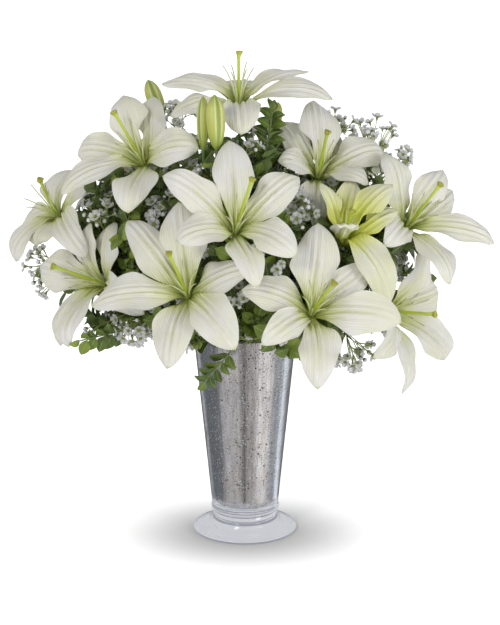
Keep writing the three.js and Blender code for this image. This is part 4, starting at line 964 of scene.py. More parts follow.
for name, bloom in blooms.items():
    make_piece(name + "_heart", heart_skins(bloom), pistil_finish, "pistil", name + "_pistil")
print("triangles in one heart:", made["lily_top_heart"])

# %% [markdown]
# ## The closed buds
# A bud is three tepals folded over three more: a long rounded form with three full sides and a
# seam between each two. It is yellow green, with a pale stripe where an inner tepal shows. Six
# folded blades would cost much and hardly show, so one skin whose ring swings in at the seams
# stands for them.

# %% Buds
# For each bud: its base, its tip (right, up and near) and its greatest width.
BUDS = {
    "bud_far_left": ([-82, 192, 10], [-97, 232, 5], 17),
    "bud_left": ([-40, 156, 92], [-40, 208, 90], 13),
    "bud_centre_left": ([-27, 155, 108], [-29, 208, 108], 19),
    "bud_back": ([26, 176, -52], [34, 216, -66], 16),
}


BUD_AT = [0, 0.02, 0.12, 0.25, 0.38, 0.52, 0.66, 0.78, 0.88, 0.95, 1]
BUD_SHARE = [0.16, 0.24, 0.62, 0.82, 0.94, 1, 0.99, 0.88, 0.66, 0.4, 0.06]
BUD_AROUND = 36


def bud_skin(base, tip, girth, turn):
    """Radius girth/2 p(t) (0.96 + 0.05 c - 0.1 exp(-(1 + c)/0.12)) about the line from base to tip,
    where c = cos 3(u + turn)."""
    t = 0.5 - 0.5 * np.cos(np.linspace(0, math.pi, 30))
    sizes = np.interp(t, BUD_AT, BUD_SHARE) * girth / 2
    u = 2 * math.pi * np.arange(BUD_AROUND) / BUD_AROUND
    lobe = np.cos(3 * (u + turn))
    ring = sizes[:, None] * (0.96 + 0.05 * lobe - 0.1 * np.exp(-(1 + lobe) / 0.12))
    path = base + (tip - base) * t[:, None]
    return marked(tubes(path, ring[None], BUD_AROUND), lobe[None, :], t[:, None], turn)


# %% Bud finish
bud_finish, tree, shader, place, here = grown_finish(
    "closed_bud", Subsurface_Weight=0.15, Subsurface_Scale=0.0015)
soft = use_mottle(tree, here, 0.008)
fine = noise(tree, stretched(tree, here, (900, 900, 60)), detail=3.0)
body = ramp(tree, place[1], (0, (0.24, 0.32, 0.05)), (0.3, (0.52, 0.56, 0.11)),
            (0.75, (0.66, 0.66, 0.2)), (1, (0.36, 0.42, 0.07)))
body = mixed(tree, times(tree, soft, 0.3), body, (0.42, 0.54, 0.1, 1))
seam = spans(tree, place[0], -1.0, -0.55, 1.0, 0.0)
beside = maths(tree, "ABSOLUTE", plus(tree, place[0], 0.35))
stripe = times(tree, spans(tree, beside, 0.0, 0.4, 0.65, 0.0), spans(tree, place[1], 0.05, 0.45))
body = mixed(tree, stripe, body, (0.86, 0.88, 0.6, 1))
body = mixed(tree, times(tree, seam, 0.75), body, (0.22, 0.32, 0.04, 1))
dress(tree, shader, body, spans(tree, fine, 0.3, 0.7, 0.36, 0.5))
bump(tree, shader, fine, 0.4, 0.0003)

for number, (name, (base, tip, girth)) in enumerate(BUDS.items()):
    base, tip = seen_at(*base), seen_at(*tip)
    blooms[name] = {"base": base, "faces": unit(tip - base)}
    skin = bud_skin(base, tip, girth, 0.4 + 0.9 * number)
    make_piece(name + "_skin", [skin], bud_finish, "bud", name)
print("triangles in one bud:", made["bud_left_skin"])

# %% [markdown]
# ## Leaves
# Lily leaves are long and narrow, with veins that run their whole length. The sprigs carry short
# broad ones, folded a little along the midrib and shiny. A plane with a bend modifier would do for
# one leaf; as there are thousands, both kinds are the same computed blade with other numbers.
# Whether the solid model had room for a leaf or a floret can be seen from its corners: where its
# tip is a corner of the solid, it is there. Leaves that are new here keep clear of the petals.


# %% Blade of a leaf
def blade_skin(root, towards, up, length, half, curl, fold, tone, rows=14, columns=9,
               stalk=0.1, full=0.8):
    """root + towards v length + side s half(v) + face rise, over and back under the blade.
    half(v) = half sin(pi w^full)^0.8 with w the share of the way past the stalk; rise = curl
    (1.5 sin(pi v) - v^3) + fold |s| half(v) + a small edge wave."""
    face = unit(up - towards * (up @ towards))
    side = np.cross(face, towards)
    v = np.linspace(0, 1, rows)
    s = np.sin(np.linspace(-1, 1, columns) * math.pi / 2)
    w = np.clip((v - stalk) / (1 - stalk), 0, 1)
    wide = np.maximum(half * np.maximum(np.sin(math.pi * w**full), 0) ** 0.8, 0.45 * (1 - 0.6 * v))
    rise = (curl * (1.5 * np.sin(math.pi * v) - v**3))[:, None] + fold * np.abs(s) * wide[:, None]
    rise = rise + 0.05 * half * np.sin(9 * v + 5 * tone)[:, None] * s**2
    middle = root + towards * (v * length)[:, None]
    top = middle[:, None] + side * (s * wide[:, None])[..., None] + face * rise[..., None]
    under = top - face * (0.5 * (1 - 0.5 * s**2))[None, :, None]
    points = np.concatenate([top[:, ::-1], under], 1)
    far = np.concatenate([s[::-1] * wide[:, None], s * wide[:, None]], 1)
    return marked(points, far, v[:, None], np.repeat([TOP, UNDER], columns) + tone)


def corners_of(node):
    """The corners of a solid, in millimetres."""
    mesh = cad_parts[node].data
    corners = np.empty(len(mesh.vertices) * 3)
    mesh.vertices.foreach_get("co", corners)
    return corners.reshape(-1, 3) / MM


def is_corner(point, corners):
    """Whether a point is one of the solid's corners, to a tenth of a millimetre."""
    return np.linalg.norm(corners - point, axis=1).min() < 0.1


def clearance(points, cloud):
    """sqrt(min over q of |p|^2 + |q|^2 - 2 p q): how far each point p is from the nearest point q of
    a cloud. The products are one matrix product for each block of points, taken from near the
    middle of the bouquet to keep them small."""
    points, cloud = (np.asarray(a, np.float32) - np.float32([0, 0, 300]) for a in (points, cloud))
    size = (cloud**2).sum(1)
    blocks = np.array_split(points, max(1, len(points) // 400))
    squares = [(b**2).sum(1) + (size - 2 * b @ cloud.T).min(1) for b in blocks]
    return np.sqrt(np.maximum(np.concatenate(squares), 0))


print("from the vase's waist to the petals:", clearance([[0, 0, 100]], petal_cloud)[0].round(), "mm")

# %% Leaf finish
leaf_finish, tree, shader, place, here = grown_finish("sprig_leaf")
soft = use_mottle(tree, here, 0.006)
tone = maths(tree, "FRACT", place[2])
deep = ramp(tree, tone, (0.0, (0.03, 0.055, 0.01)), (0.45, (0.09, 0.15, 0.02)),
            (0.75, (0.22, 0.31, 0.035)), (1.0, (0.42, 0.5, 0.07)))
deep = mixed(tree, times(tree, soft, 0.25), deep, (0.2, 0.28, 0.05, 1))
off = maths(tree, "ABSOLUTE", place[0])
slant = maths(tree, "SUBTRACT", times(tree, place[1], 9.0), times(tree, off, 0.3))
branch = maths(tree, "SINE", times(tree, slant, 2 * math.pi))
veins = maths(tree, "MAXIMUM", spans(tree, off, 0.15, 0.5, 1.0, 0.0),
              spans(tree, branch, 0.82, 1.0, 0.0, 0.45))
deep = mixed(tree, times(tree, veins, 0.55), deep, (0.42, 0.52, 0.2, 1))
back = spans(tree, place[2], 1.4, 1.6)
deep = mixed(tree, times(tree, back, 0.6), deep, (0.3, 0.4, 0.16, 1))
dress(tree, shader, deep, plus(tree, spans(tree, soft, 0.0, 1.0, 0.28, 0.4), times(tree, back, 0.25)))
bump(tree, shader, maths(tree, "SUBTRACT", soft, veins), 0.5, 0.0004)

# %% Stem finish
stem_finish, tree, shader, place, here = grown_finish("lily_green")
rib = use_ribs(tree, 1.1)
soft = use_mottle(tree, here, 0.012)
green = mixed(tree, soft, (0.06, 0.13, 0.025, 1), (0.12, 0.22, 0.05, 1))
green = mixed(tree, times(tree, rib, 0.3), green, (0.25, 0.36, 0.1, 1))
dress(tree, shader, green, spans(tree, soft, 0.0, 1.0, 0.35, 0.5))
bump(tree, shader, rib, 0.4, 0.0004)
print("finishes so far:", len(bpy.data.materials))

# %% [markdown]
# ## Lily stems
# Each stem stands in the water, leans out over the rim and forks into the stalks of its blooms. The
# solid gives the fork and the ends; here the stalks are round, swell where they meet the cup of
# the flower, and bend over instead of breaking at a corner. A Bezier curve object could be dragged
# into place, but the stalks have to meet the blooms' own bases, so their paths are computed.

# %% Lily stems
# For each stem: where it passes the rim, its fork, the blooms that it carries, and the direction
# (right, up and near) and length of each leaf.
FOOT_SHARE = 0.6  # how far out a stem stands on the cup's floor, as a share of its place at the rim
DOME_MIDDLE = np.array([0, 10, 270.0])
STEMS = {
    "stem_front_left": ([-22, -14], [-52, -34, 256], ["lily_front_left", "lily_left", "lily_far_left"],
                        [[-0.25, 0.9, 0.15, 66], [-0.5, -0.3, 0.6, 60]]),
    "stem_front": ([8, -24], [22, -52, 256], ["lily_centre", "lily_front_right", "lily_half_open"],
                   [[-0.35, 0.8, 0.3, 60], [0.3, -0.1, 0.8, 52]]),
    "stem_right": ([28, -4], [72, -14, 258], ["lily_right", "lily_lower_right"],
                   [[0.25, 0.9, -0.1, 66], [0.2, -0.4, 0.6, 56]]),
    "stem_top": ([4, 4], [4, 4, 330], ["lily_top", "lily_upper_right", "bud_centre_left", "bud_left"],
                 [[-0.45, 0.75, 0.1, 64], [0.5, 0.75, 0.2, 60]]),
    "stem_upper_left": ([-18, 12], [-52, 14, 318], ["lily_upper_left", "bud_far_left"],
                        [[-0.8, -0.1, 0.3, 60], [0.35, 0.8, 0.3, 56]]),
    "stem_back": ([4, 26], [2, 50, 262],
                  ["lily_back_left", "lily_back_right", "lily_back_low", "bud_back"],
                  [[-0.8, 0.1, -0.5, 66], [0.8, 0.1, -0.5, 66]]),
}


def standing(rim, depth):
    """Where a stem stands on the cup's floor and where it passes the rim."""
    return (np.array([rim[0] * FOOT_SHARE, rim[1] * FOOT_SHARE, CUP_FLOOR + depth]),
            np.array([rim[0], rim[1], CUP_HEIGHT]))


def stalk_skin(path, size, around, half, tone):
    """A round stalk; `across` swings from half to -half and back round it, so that ribs run along."""
    across = np.cos(2 * math.pi * np.arange(around) / around) * half
    return marked(tubes(path, size, around), across, np.linspace(0, 1, len(path))[:, None], tone)


STALK_AT, STALK_RADII = [0, 0.1, 0.6, 0.93, 1], [2.2, 1.7, 1.35, 1.4, 1.6]
for number, (name, (rim_at, fork, carried, leaves)) in enumerate(STEMS.items()):
    foot_at, over = standing(rim_at, 6)
    fork = np.array(fork, float)
    trunk = evenly(rounded([foot_at, over, fork], 22), 26)
    size = np.linspace(2.75, 2.3, 26) * (1 + 0.03 * np.sin(np.arange(26)))
    skins = [stalk_skin(trunk, size, 12, 2.6, 0.3)]
    for bloom_name in carried:
        base, faces = blooms[bloom_name]["base"], blooms[bloom_name]["faces"]
        line = evenly(rounded([fork, base - 16 * faces, base + 0.3 * faces], 12), 20)
        girth = np.interp(np.linspace(0, 1, 20), STALK_AT, STALK_RADII)
        skins.append(stalk_skin(line, girth, 10, 1.6, 0.7))
    corners = corners_of(name)
    rng = np.random.default_rng(200 + number)
    for right, up, near, length in leaves:
        towards = unit(seen(right, up, near))
        outwards = fork + towards * length / 2 - DOME_MIDDLE
        face = unit(outwards - towards * (outwards @ towards))
        for long in (length, 0.8 * length, 0.62 * length):
            if is_corner(fork + towards * long - face * 2, corners):
                skins.append(blade_skin(fork, towards, outwards, long, long * 0.09, 1.6, 0.25,
                                        rng.random(), rows=22, stalk=0.02, full=0.75))
                break
    make_piece(name + "_growth", skins, stem_finish, "lily_stem", name)
print("triangles in one stem:", made["stem_top_growth"])

# %% [markdown]
# ## Leafy sprigs
# Woody twigs with pairs of small leathery leaves, dark green with some lighter new ones. The
# solid's leaves are each repeated here as a finer blade in the same place. In the real bouquet
# leaves also fill the gaps between the blooms. Scattering them in the dome would leave them in the
# air, so spots are picked under the petals, side twigs grow to them from the nearest sprig, and
# the leaves stand on those twigs and down the sprig's own hidden part.


# %% The solid model's own random numbers
def seeded(seed):
    """A stream of even numbers from 0 to 1 that mixes a 32-bit counter, the same as the solids'."""
    state = seed
    low = 0xFFFFFFFF

    def draw():
        nonlocal state
        state = (state + 0x6D2B79F5) & low
        t = (state ^ (state >> 15)) * (1 | state) & low
        t = (t + ((t ^ (t >> 7)) * (61 | t) & low) & low) ^ t
        return (t ^ (t >> 14)) / 4294967296

    return draw


# %% Sprigs
# For each sprig: where it passes the rim, the places (right, up and near) that it runs through, its
# tip, how many leaves the solid was given at most, and the seed of its random numbers.
SPRIGS = {
    "sprig_top": ([10, -8], [[16, 100, 50], [18, 140, 56]], [27, 196, 50], 12, 21),
    "sprig_lower_left": ([-29, -30], [[-36, -12, 54], [-112, -16, 74]], [-158, -27, 88], 10, 22),
    "sprig_front": ([-12, -40], [[-11, -16, 50], [-10, -34, 86]], [-38, -66, 72], 8, 23),
    "sprig_right_rim": ([20, -36], [[27, -14, 48]], [54, -40, 86], 6, 24),
    "sprig_left": ([-32, 16], [[-105, 60, 39]], [-150, 130, 34], 10, 25),
    "sprig_right": ([38, -12], [[86, 34, 54]], [128, 90, 64], 8, 26),
    "sprig_back": ([-16, 34], [], [-20, 150, -90], 10, 27),
}


TWIG_ROWS, SIDE_ROWS, WOOD = 40, 7, 5.0  # rows of points on a twig and a side twig; wood's tone
TURN_ON = 2.4  # radians from one leaf or stalk to the next, as plants grow them


def twig_skin(path, size_from, size_to, around=7):
    """A round twig along a path, a little knobbly, thinning towards its end."""
    line = evenly(path, TWIG_ROWS)
    step = np.arange(TWIG_ROWS)
    size = np.linspace(size_from, size_to, TWIG_ROWS) * (1 + 0.07 * np.sin(2.3 * step))
    return marked(tubes(line, size, around), 0, np.linspace(0, 1, TWIG_ROWS)[:, None], WOOD)


# %% Leaves and side twigs that keep clear of the petals
def leaves_on(twigs, each, lengths, rng, keep_off):
    """Leaves along some twigs, (twigs, knots, 3), each turned on by 2.4 radians from the last, where
    they stay clear of the petals and over the rim: root, direction, upper side and length of each."""
    at = np.linspace(0, twigs.shape[1] - 1, each)
    low = np.minimum(at.astype(int), twigs.shape[1] - 2)
    rest = (at - low)[:, None]
    roots = (twigs[:, low] * (1 - rest) + twigs[:, low + 1] * rest).reshape(-1, 3)
    along = unit(twigs[:, low + 1] - twigs[:, low]).reshape(-1, 3)
    spin = (TURN_ON * np.arange(each) + 6 * rng.random((len(twigs), 1))).reshape(-1, 1)
    a = unit(np.cross(along, [0.31, 0.2, 0.93]))
    out = a * np.cos(spin) + np.cross(along, a) * np.sin(spin)
    towards = unit(along * rng.uniform(0.4, 1.2, (len(roots), 1)) + out)
    long = rng.uniform(*lengths, len(roots))
    far = [clearance(roots + towards * (share * long)[:, None], petal_cloud)
           for share in (0.35, 0.65, 1)]
    free = (np.min(far, axis=0) > keep_off) & ((roots + towards * long[:, None])[:, 2] > CUP_HEIGHT + 3)
    up = along + (roots - DOME_MIDDLE) * 0.008
    return list(zip(roots[free], towards[free], up[free], long[free]))


def under_blooms(count, rng):
    """Spots M + u R f, f from 0.55 to 0.96, where M is the middle of the rim, u a way out through the
    dome and R how far out the nearer petals stand there (the lower quarter within 11 degrees)."""
    mouth = np.array([0, 0, CUP_HEIGHT])
    from_mouth = petal_cloud - mouth
    far = np.linalg.norm(from_mouth, axis=1)
    ways = from_mouth / far[:, None]
    picks = unit(ways[rng.integers(0, len(ways), count)] + rng.normal(size=(count, 3)) * 0.14)
    close = [far[ways @ pick > 0.982] for pick in picks]
    reach = np.array([np.percentile(c, 25) if len(c) else 0 for c in close])
    spots = mouth + picks * (reach * rng.uniform(0.55, 0.96, count))[:, None]
    level = spots[:, 2]
    return spots[(clearance(spots, petal_cloud) > 5) & (level > CUP_HEIGHT + 12) & (level < 400)]


def twigs_to(spots, line):
    """A bent twig to each spot from a little below the nearest place on the line over the rim,
    (twigs, SIDE_ROWS, 3), where it stays clear of the petals."""
    points = evenly(line, 60)
    along = unit(np.gradient(points, axis=0))
    cost = np.linalg.norm(spots[:, None] - points, axis=2) + 1000 * (points[:, 2] < CUP_HEIGHT + 2)
    at = np.maximum(cost.argmin(1) - 5, np.flatnonzero(points[:, 2] > CUP_HEIGHT + 2)[0])
    start, way = points[at], along[at]
    long = np.linalg.norm(spots - start, axis=1, keepdims=True)
    paths, _ = bezier(start, start + way * 0.3 * long, spots - unit(spots - start) * 0.3 * long,
                      spots, np.linspace(0, 1, SIDE_ROWS))
    far = clearance(paths.reshape(-1, 3), petal_cloud).reshape(-1, SIDE_ROWS)
    return paths[far[:, 1:].min(1) > 2.5]


def share_out(spots, lines):
    """The number of the line that each spot is nearest to."""
    return np.argmin([clearance(spots, evenly(line, 60)) for line in lines], axis=0)


# %% Where the sprigs run
IN_WATER = 55  # the twigs' and sprays' lower ends, over the cup's floor
sprig_paths = {name: [*standing(rim_at, IN_WATER), *(seen_at(*p) for p in via), seen_at(*end)]
               for name, (rim_at, via, end, _, _) in SPRIGS.items()}
spots = under_blooms(900, np.random.default_rng(7))
nearest = share_out(spots, [rounded(path) for path in sprig_paths.values()])
print("spots under the blooms:", len(spots), "per sprig:", np.bincount(nearest).tolist())


# %% The leaves that the solids have
def leaf_plans(start, tip, count, seed):
    """Pairs of leaves from the tip back, and one at the tip itself: how far back each stands, its
    direction, upper side and length, with the solids' own random numbers."""
    along = unit(tip - start)
    a = unit(np.cross(along, (start + tip) / 2 - DOME_MIDDLE))
    b = np.cross(a, along)
    pairs = count // 2
    step = 0.86 * np.linalg.norm(tip - start) / pairs
    draw = seeded(seed)
    plans = []
    for i in range(2 * pairs):
        lean, rise, long = 0.95 + 0.3 * draw(), 0.3 + 0.12 * draw(), 16 + 6 * draw()
        out = a * (-1 if i % 2 else 1) * math.cos(rise) + b * math.sin(rise)
        towards = along * math.cos(lean) + out * math.sin(lean)
        plans.append((2.2 + 5 + (i // 2) * step, towards, b + 0.6 * along, long))
    plans.append((0, unit(along + 0.2 * b), b, 18))
    return along, plans


def solid_leaves(name, start, tip, count, seed, rng):
    """A blade for each planned leaf whose tip is a corner of the solid. Those near the twig's tip
    are younger: smaller and lighter."""
    corners = corners_of(name)
    along, plans = leaf_plans(start, tip, count, seed)
    for back, towards, up, long in plans:
        root = tip - along * back
        face = unit(up - towards * (up @ towards))
        if is_corner(root + towards * long - face * 1.2, corners):
            young = math.exp(-back / 14)
            size = long * (1 - 0.3 * young)
            yield blade_skin(root, towards, up, size, size * rng.uniform(0.28, 0.38),
                             rng.uniform(0.4, 2.2), rng.uniform(0.05, 0.3),
                             min(0.95, 0.62 * rng.random() + 0.4 * young))


# %% Make the sprigs
filled = 0
for number, (name, (_, _, _, count, seed)) in enumerate(SPRIGS.items()):
    path, rng = sprig_paths[name], np.random.default_rng(seed)
    line = rounded(path)
    skins = [twig_skin(line, 1.2, 0.7), *solid_leaves(name, *path[-2:], count, seed, rng)]
    each = int(np.linalg.norm(np.diff(line, axis=0), axis=1).sum() / 13)
    hidden = leaves_on(evenly(line, TWIG_ROWS)[None], each, (11, 18), rng, 4)
    for root, towards, up, long in hidden:
        skins.append(blade_skin(root, towards, up, long, long * 0.34, 0.8, 0.16, rng.random(),
                                rows=9, columns=5))
    twigs = twigs_to(spots[nearest == number], line)
    skins.append(marked(tubes(twigs, np.linspace(0.8, 0.4, SIDE_ROWS), 5), 0, 0.5, WOOD))
    deep = leaves_on(twigs[:, 3:], 9, (12, 22), rng, 5)
    # The leaves deep in the dome stop short of the lightest green (tone at most 0.9): a little painted
    # shade.
    for root, towards, up, long in deep:
        skins.append(blade_skin(root, towards, up, long, long * 0.36, 0.8, 0.16, 0.9 * rng.random(),
                                rows=6, columns=3))
    filled += len(hidden) + len(deep)
    make_piece(name + "_growth", skins, leaf_finish, "leaf", name)
print("small leaves added:", filled)

# %% [markdown]
# ## Waxflower
# Thin green twigs that break into many stalks, each with a five-petalled flower no wider than a
# fingertip or a round white bud, and needle leaves along the twig. A flower appears hundreds of
# times. Blender could scatter instances of one, but a real mesh is what the solid is replaced by,
# so the flower is worked out once, from few faces, and all its copies are turned and moved in one
# array. Beside each stalk of the solids stand up to three finer ones, as on the real spray, and
# side twigs with small heads of five fill gaps under the blooms, as the leaves do.

# %% One flower and one bud
FLAT_RING = np.array([[1, 0], [0, 1], [-1, 0], [0, -1.0]])
GREEN, WHITE, HEART, NEEDLES = 0.0, 1.0, 2.0, 3.0  # the tones of a spray's parts
PETAL_ROWS = [[1.2, 1.3, 0.3], [3.6, 2.7, 1.1], [5.2, 1.9, 2.6]]  # distance out, half width, lift


def floret_shape():
    """Five petals, each a flat four-cornered ring carried outwards; a cup in the middle and a calyx
    below. z runs along the stalk, and the flower opens towards +z."""
    out, half, lift = np.array(PETAL_ROWS).T
    u = 2 * math.pi * np.arange(5)[:, None, None] / 5
    width, thick = FLAT_RING[:, 0] * half[:, None], FLAT_RING[:, 1] * 0.22 + lift[:, None]
    x = out[None, :, None] * np.cos(u) - width[None] * np.sin(u)
    y = out[None, :, None] * np.sin(u) + width[None] * np.cos(u)
    petals = np.stack([x, y, np.broadcast_to(thick, x.shape)], -1)
    centre = turned([(0.05, 0.2), (1.9, 0.3), (1.6, 1.0), (0.9, 0.6)], 6)
    calyx = turned([(0.45, -3.2), (1.0, -1.8), (1.5, 0.2)], 6)
    return [(petals, WHITE, out[None, :, None] / out[-1]), (centre, HEART, 0.5), (calyx, GREEN, 0.5)]


def bud_shape():
    """A round bud on a short calyx."""
    ball = turned([(0.3, -2.2), (1.7, -1.4), (2.3, 0.0), (1.8, 1.3), (0.3, 2.1)], 7)
    calyx = turned([(0.4, -3.0), (1.2, -2.0), (1.9, -0.9)], 6)
    return [(ball, WHITE, 0.6), (calyx, GREEN, 0.5)]


def copies(shape, places, axes, sizes):
    """Each skin of a shape at every place: place + size (x A + y B + z axis), as one array."""
    a = unit(np.cross(axes, np.where(np.abs(axes[:, 2:]) < 0.9, [[0, 0, 1.0]], [[1.0, 0, 0]])))
    turn = np.stack([a, np.cross(axes, a), axes], 1) * sizes[:, None, None]
    skins = []
    for points, kind, along in shape:
        moved = np.einsum("crak,nkj->ncraj", points, turn) + places[:, None, None, None]
        along = np.broadcast_to(along, points.shape[:-1])
        flat = moved.reshape(-1, *points.shape[1:])
        skins.append(marked(flat, 0, np.tile(along, (len(places), 1, 1)), kind))
    return skins


print("points in one flower:", sum(points[..., 0].size for points, _, _ in floret_shape()))

# %% Waxflower finish
wax_finish, tree, shader, place, here = grown_finish(
    "waxflower", Subsurface_Weight=0.9, Subsurface_Radius=(1.0, 1.0, 0.85), Subsurface_Scale=0.004)
soft = use_mottle(tree, here, 0.004)
twig_green = mixed(tree, soft, (0.2, 0.27, 0.06, 1), (0.4, 0.46, 0.14, 1))
petal_white = ramp(tree, place[1], (0.2, (0.62, 0.7, 0.36)), (0.5, (0.93, 0.93, 0.86)),
                   (1, (0.97, 0.965, 0.94)))
heart_green = mixed(tree, soft, (0.16, 0.22, 0.03, 1), (0.34, 0.4, 0.08, 1))
colour = mixed(tree, spans(tree, place[2], 0.4, 0.6), twig_green, petal_white)
colour = mixed(tree, spans(tree, place[2], 1.4, 1.6), colour, heart_green)
needle_green = mixed(tree, soft, (0.05, 0.1, 0.02, 1), (0.12, 0.2, 0.04, 1))
colour = mixed(tree, spans(tree, place[2], 2.4, 2.6), colour, needle_green)
dress(tree, shader, colour, spans(tree, soft, 0.0, 1.0, 0.35, 0.55))
bump(tree, shader, soft, 0.3, 0.0002)

# %% Where the sprays run
# For each spray: where it passes the rim, the places it runs through, its heads, each with its
# place, the way it faces, its number of stalks and their length, and the seed of its random numbers.
SPRAYS = {
    "waxflower_top_right": ([24, 14], [[80, 90, -10]], [([126, 158, -2], [0.05, 1, 0.1], 9, 32),
                                                        ([88, 178, -4], [0.1, 1, 0], 4, 22)], 1),
    "waxflower_right": ([36, 6], [[90, 50, 0]], [([152, 150, -4], [0.7, 0.7, 0], 3, 18),
                                                 ([142, 44, 48], [0.5, 0.4, 0.4], 4, 18)], 2),
    "waxflower_top_left": ([-8, 14], [[-40, 110, 20]], [([-66, 190, 22], [0, 0.9, 0.3], 6, 20)], 3),
    "waxflower_left": ([-36, -4], [[-90, 40, 40]], [([-140, 84, 48], [-0.3, 0.5, 0.8], 7, 20)], 4),
    "waxflower_far_left": ([-38, 8], [[-110, 30, 5]], [([-190, 46, 6], [-1, 0, 0], 5, 26)], 5),
    "waxflower_left_centre": ([-24, 2], [[-50, 60, 50]], [([-80, 92, 78], [-0.1, 0.6, 0.8], 8, 20)], 6),
    "waxflower_middle": ([-8, -8], [[-20, 90, 60]], [([-36, 132, 84], [0, 0.7, 0.6], 4, 14)], 7),
    "waxflower_right_centre": ([18, -12], [[40, 60, 60]], [([52, 94, 88], [0.1, 0.7, 0.7], 8, 22)], 8),
    "waxflower_lower_right": ([34, -18], [[70, -10, 60]],
                              [([100, -28, 84], [0.3, -0.9, 0.2], 6, 24)], 9),
    "waxflower_front": ([2, -38], [[3, -14, 47]], [([5, -16, 90], [0, 0.8, 0.6], 9, 17)], 10),
    "waxflower_lower_left": ([-37, -16], [], [([-106, -10, 84], [-0.1, -0.8, 0.5], 6, 20)], 11),
    "waxflower_back": ([22, 30], [], [([60, 60, -120], [0.3, 0.5, -0.8], 5, 24),
                                      ([-46, 74, -118], [-0.3, 0.5, -0.8], 4, 22)], 12),
}
spray_trunks = {name: [*standing(rim_at, IN_WATER), *(seen_at(*p) for p in via)]
                for name, (rim_at, via, _, _) in SPRAYS.items()}
spray_lines = [rounded(spray_trunks[name] + [seen_at(*heads[0][0])])
               for name, (_, _, heads, _) in SPRAYS.items()]
spots = under_blooms(440, np.random.default_rng(8))
nearest = share_out(spots, spray_lines)
print("spots per spray:", np.bincount(nearest).tolist())


# %% Stalks
def spray_head(at, out, count, reach, draw, corners):
    """The stalks that the solid has room for: root, end and whether a bud sits there."""
    a, b = square_to(out)
    found = []
    for i in range(count):
        tilt = 1.05 * math.sqrt(i / count)
        turn, long = TURN_ON * i + 0.7 * draw(), reach * (0.75 + 0.5 * draw())
        towards = out * math.cos(tilt) + (a * math.cos(turn) + b * math.sin(turn)) * math.sin(tilt)
        root, is_bud = at - out * 2.2 * i, i % 3 == 2
        for share in (1, 0.72, 1.25):
            end = at + towards * share * long
            if is_corner(end + unit(end - root) * (2.4 if is_bud else 0.3), corners):
                found.append((root, end, is_bud))
                break
    return found


def side_stalks(stalks, rng, each=3):
    """Finer stalks that leave each main stalk a quarter to six tenths of the way up and end beside
    its flower: starts, ends and which of them end in a bud."""
    root, end = (np.repeat([s[k] for s in stalks], each, 0) for k in (0, 1))
    along = end - root
    spin = unit(rng.normal(size=along.shape))
    out = unit(spin - unit(along) * (spin * unit(along)).sum(1, keepdims=True))
    start = root + along * rng.uniform(0.25, 0.6, (len(root), 1))
    tip = start + along * rng.uniform(0.2, 0.55, (len(root), 1))
    tip = tip + out * rng.uniform(6, 10.5, (len(root), 1))
    free = clearance(tip, petal_cloud) > 5.5
    return start[free], tip[free], rng.random(free.sum()) < 0.45


def small_heads(twigs, each, rng):
    """Short stalks that fan out from the end of each twig, and which of them end in a bud."""
    end = np.repeat(twigs[:, -1], each, 0)
    along = np.repeat(unit(twigs[:, -1] - twigs[:, -2]), each, 0)
    start = end - along * rng.uniform(2, 12, (len(end), 1))
    tip = end + unit(along + unit(rng.normal(size=end.shape))) * rng.uniform(5, 11, (len(end), 1))
    free = clearance(tip, petal_cloud) > 6
    return start[free], tip[free], rng.random(free.sum()) < 0.4


# %% Flowers on their stalks, and needle leaves
NEEDLE = np.array([[0, 0.35], [0.3, 0.6], [0.7, 0.5], [1, 0.05]])  # share of the length, radius
NEEDLE_TRIES = 130


def flowering(starts, tips, is_bud, main, rng):
    """A bowed stalk from each start to just under its tip, and a flower or a bud on the tip. The
    first `main` ones are a little larger."""
    axes = unit(tips - starts)
    size = np.r_[np.full(main, 1.15), rng.uniform(0.8, 1.1, len(tips) - main)]
    bow = rng.normal(size=axes.shape) * 1.2
    paths, _ = bezier(starts, starts + (tips - starts) * 0.35 + bow, tips - axes * 3.5 * size[:, None],
                      tips - axes * 2.6 * size[:, None], np.linspace(0, 1, SIDE_ROWS))
    skins = [marked(tubes(paths, np.linspace(0.55, 0.42, SIDE_ROWS), 5), 0, 0.5, GREEN)]
    skins += copies(floret_shape(), tips[~is_bud], axes[~is_bud], size[~is_bud])
    return skins + copies(bud_shape(), tips[is_bud], axes[is_bud], size[is_bud])


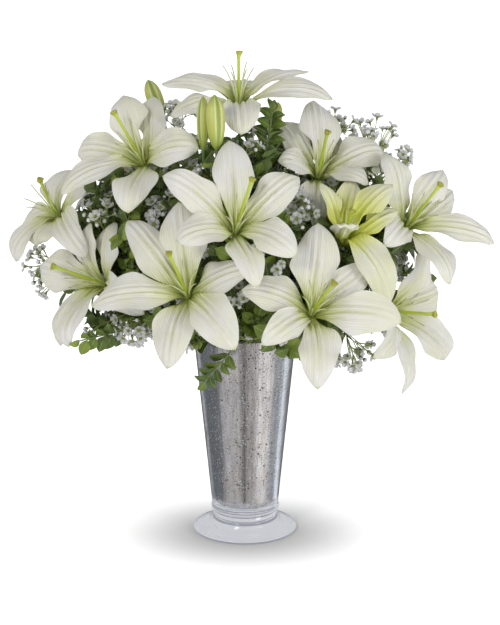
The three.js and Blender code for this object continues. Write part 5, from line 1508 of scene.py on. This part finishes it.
def needles_on(line, rng):
    """Needle leaves root + towards length share, where they are clear of the petals and the rim."""
    line = evenly(line, 80)
    way = unit(np.gradient(line, axis=0))
    at = rng.integers(20, 78, NEEDLE_TRIES)
    spin = unit(rng.normal(size=(NEEDLE_TRIES, 3)))
    lean = rng.uniform(0.5, 1.6, (NEEDLE_TRIES, 1))
    reach = unit(way[at] * lean + unit(np.cross(way[at], spin))) * rng.uniform(9, 20, (NEEDLE_TRIES, 1))
    free = (clearance(line[at] + reach, petal_cloud) > 3) & (line[at][:, 2] > CUP_HEIGHT + 8)
    needles = line[at][free, None] + reach[free, None] * NEEDLE[None, :, :1]
    return marked(tubes(needles, NEEDLE[:, 1], 4), 0, 0.5, NEEDLES)


# %% Make the sprays
stalk_total = flower_total = needle_total = 0
for number, (name, (_, _, heads, seed)) in enumerate(SPRAYS.items()):
    draw, corners, rng = seeded(seed), corners_of(name), np.random.default_rng(300 + seed)
    trunk = spray_trunks[name]
    skins, stalks, lines = [], [], []
    for h, (at, out, count, reach) in enumerate(heads):
        out, at = unit(seen(*out)), seen_at(*at)
        lines.append(rounded((trunk if h == 0 else trunk[-1:]) + [at - 20 * out, at]))
        points, marks = twig_skin(lines[-1], 1.2 if h == 0 else 0.9, 0.6)
        skins.append((points, marks * [1, 1, 0]))  # the same twig, but green
        stalks += spray_head(at, out, count, reach, draw, corners)
    main = [np.array([s[k] for s in stalks]) for k in (0, 1, 2)]
    beside = side_stalks(stalks, rng)
    twigs = twigs_to(spots[nearest == number], lines[0])
    skins.append(marked(tubes(twigs, np.linspace(0.7, 0.45, SIDE_ROWS), 5), 0, 0.5, GREEN))
    starts, tips, is_bud = (np.concatenate(x) for x in zip(main, beside, small_heads(twigs, 5, rng)))
    skins += flowering(starts, tips, is_bud, len(stalks), rng)
    skins.append(needles_on(lines[0], rng))
    make_piece(name + "_growth", skins, wax_finish, "waxflower", name)
    stalk_total += len(tips)
    flower_total += int((~is_bud).sum())
    needle_total += skins[-1][0].shape[0]
print("stalks:", stalk_total, "flowers:", flower_total, "needles:", needle_total)

# %% Triangles in all
print("triangles in all:", sum(made.values()))
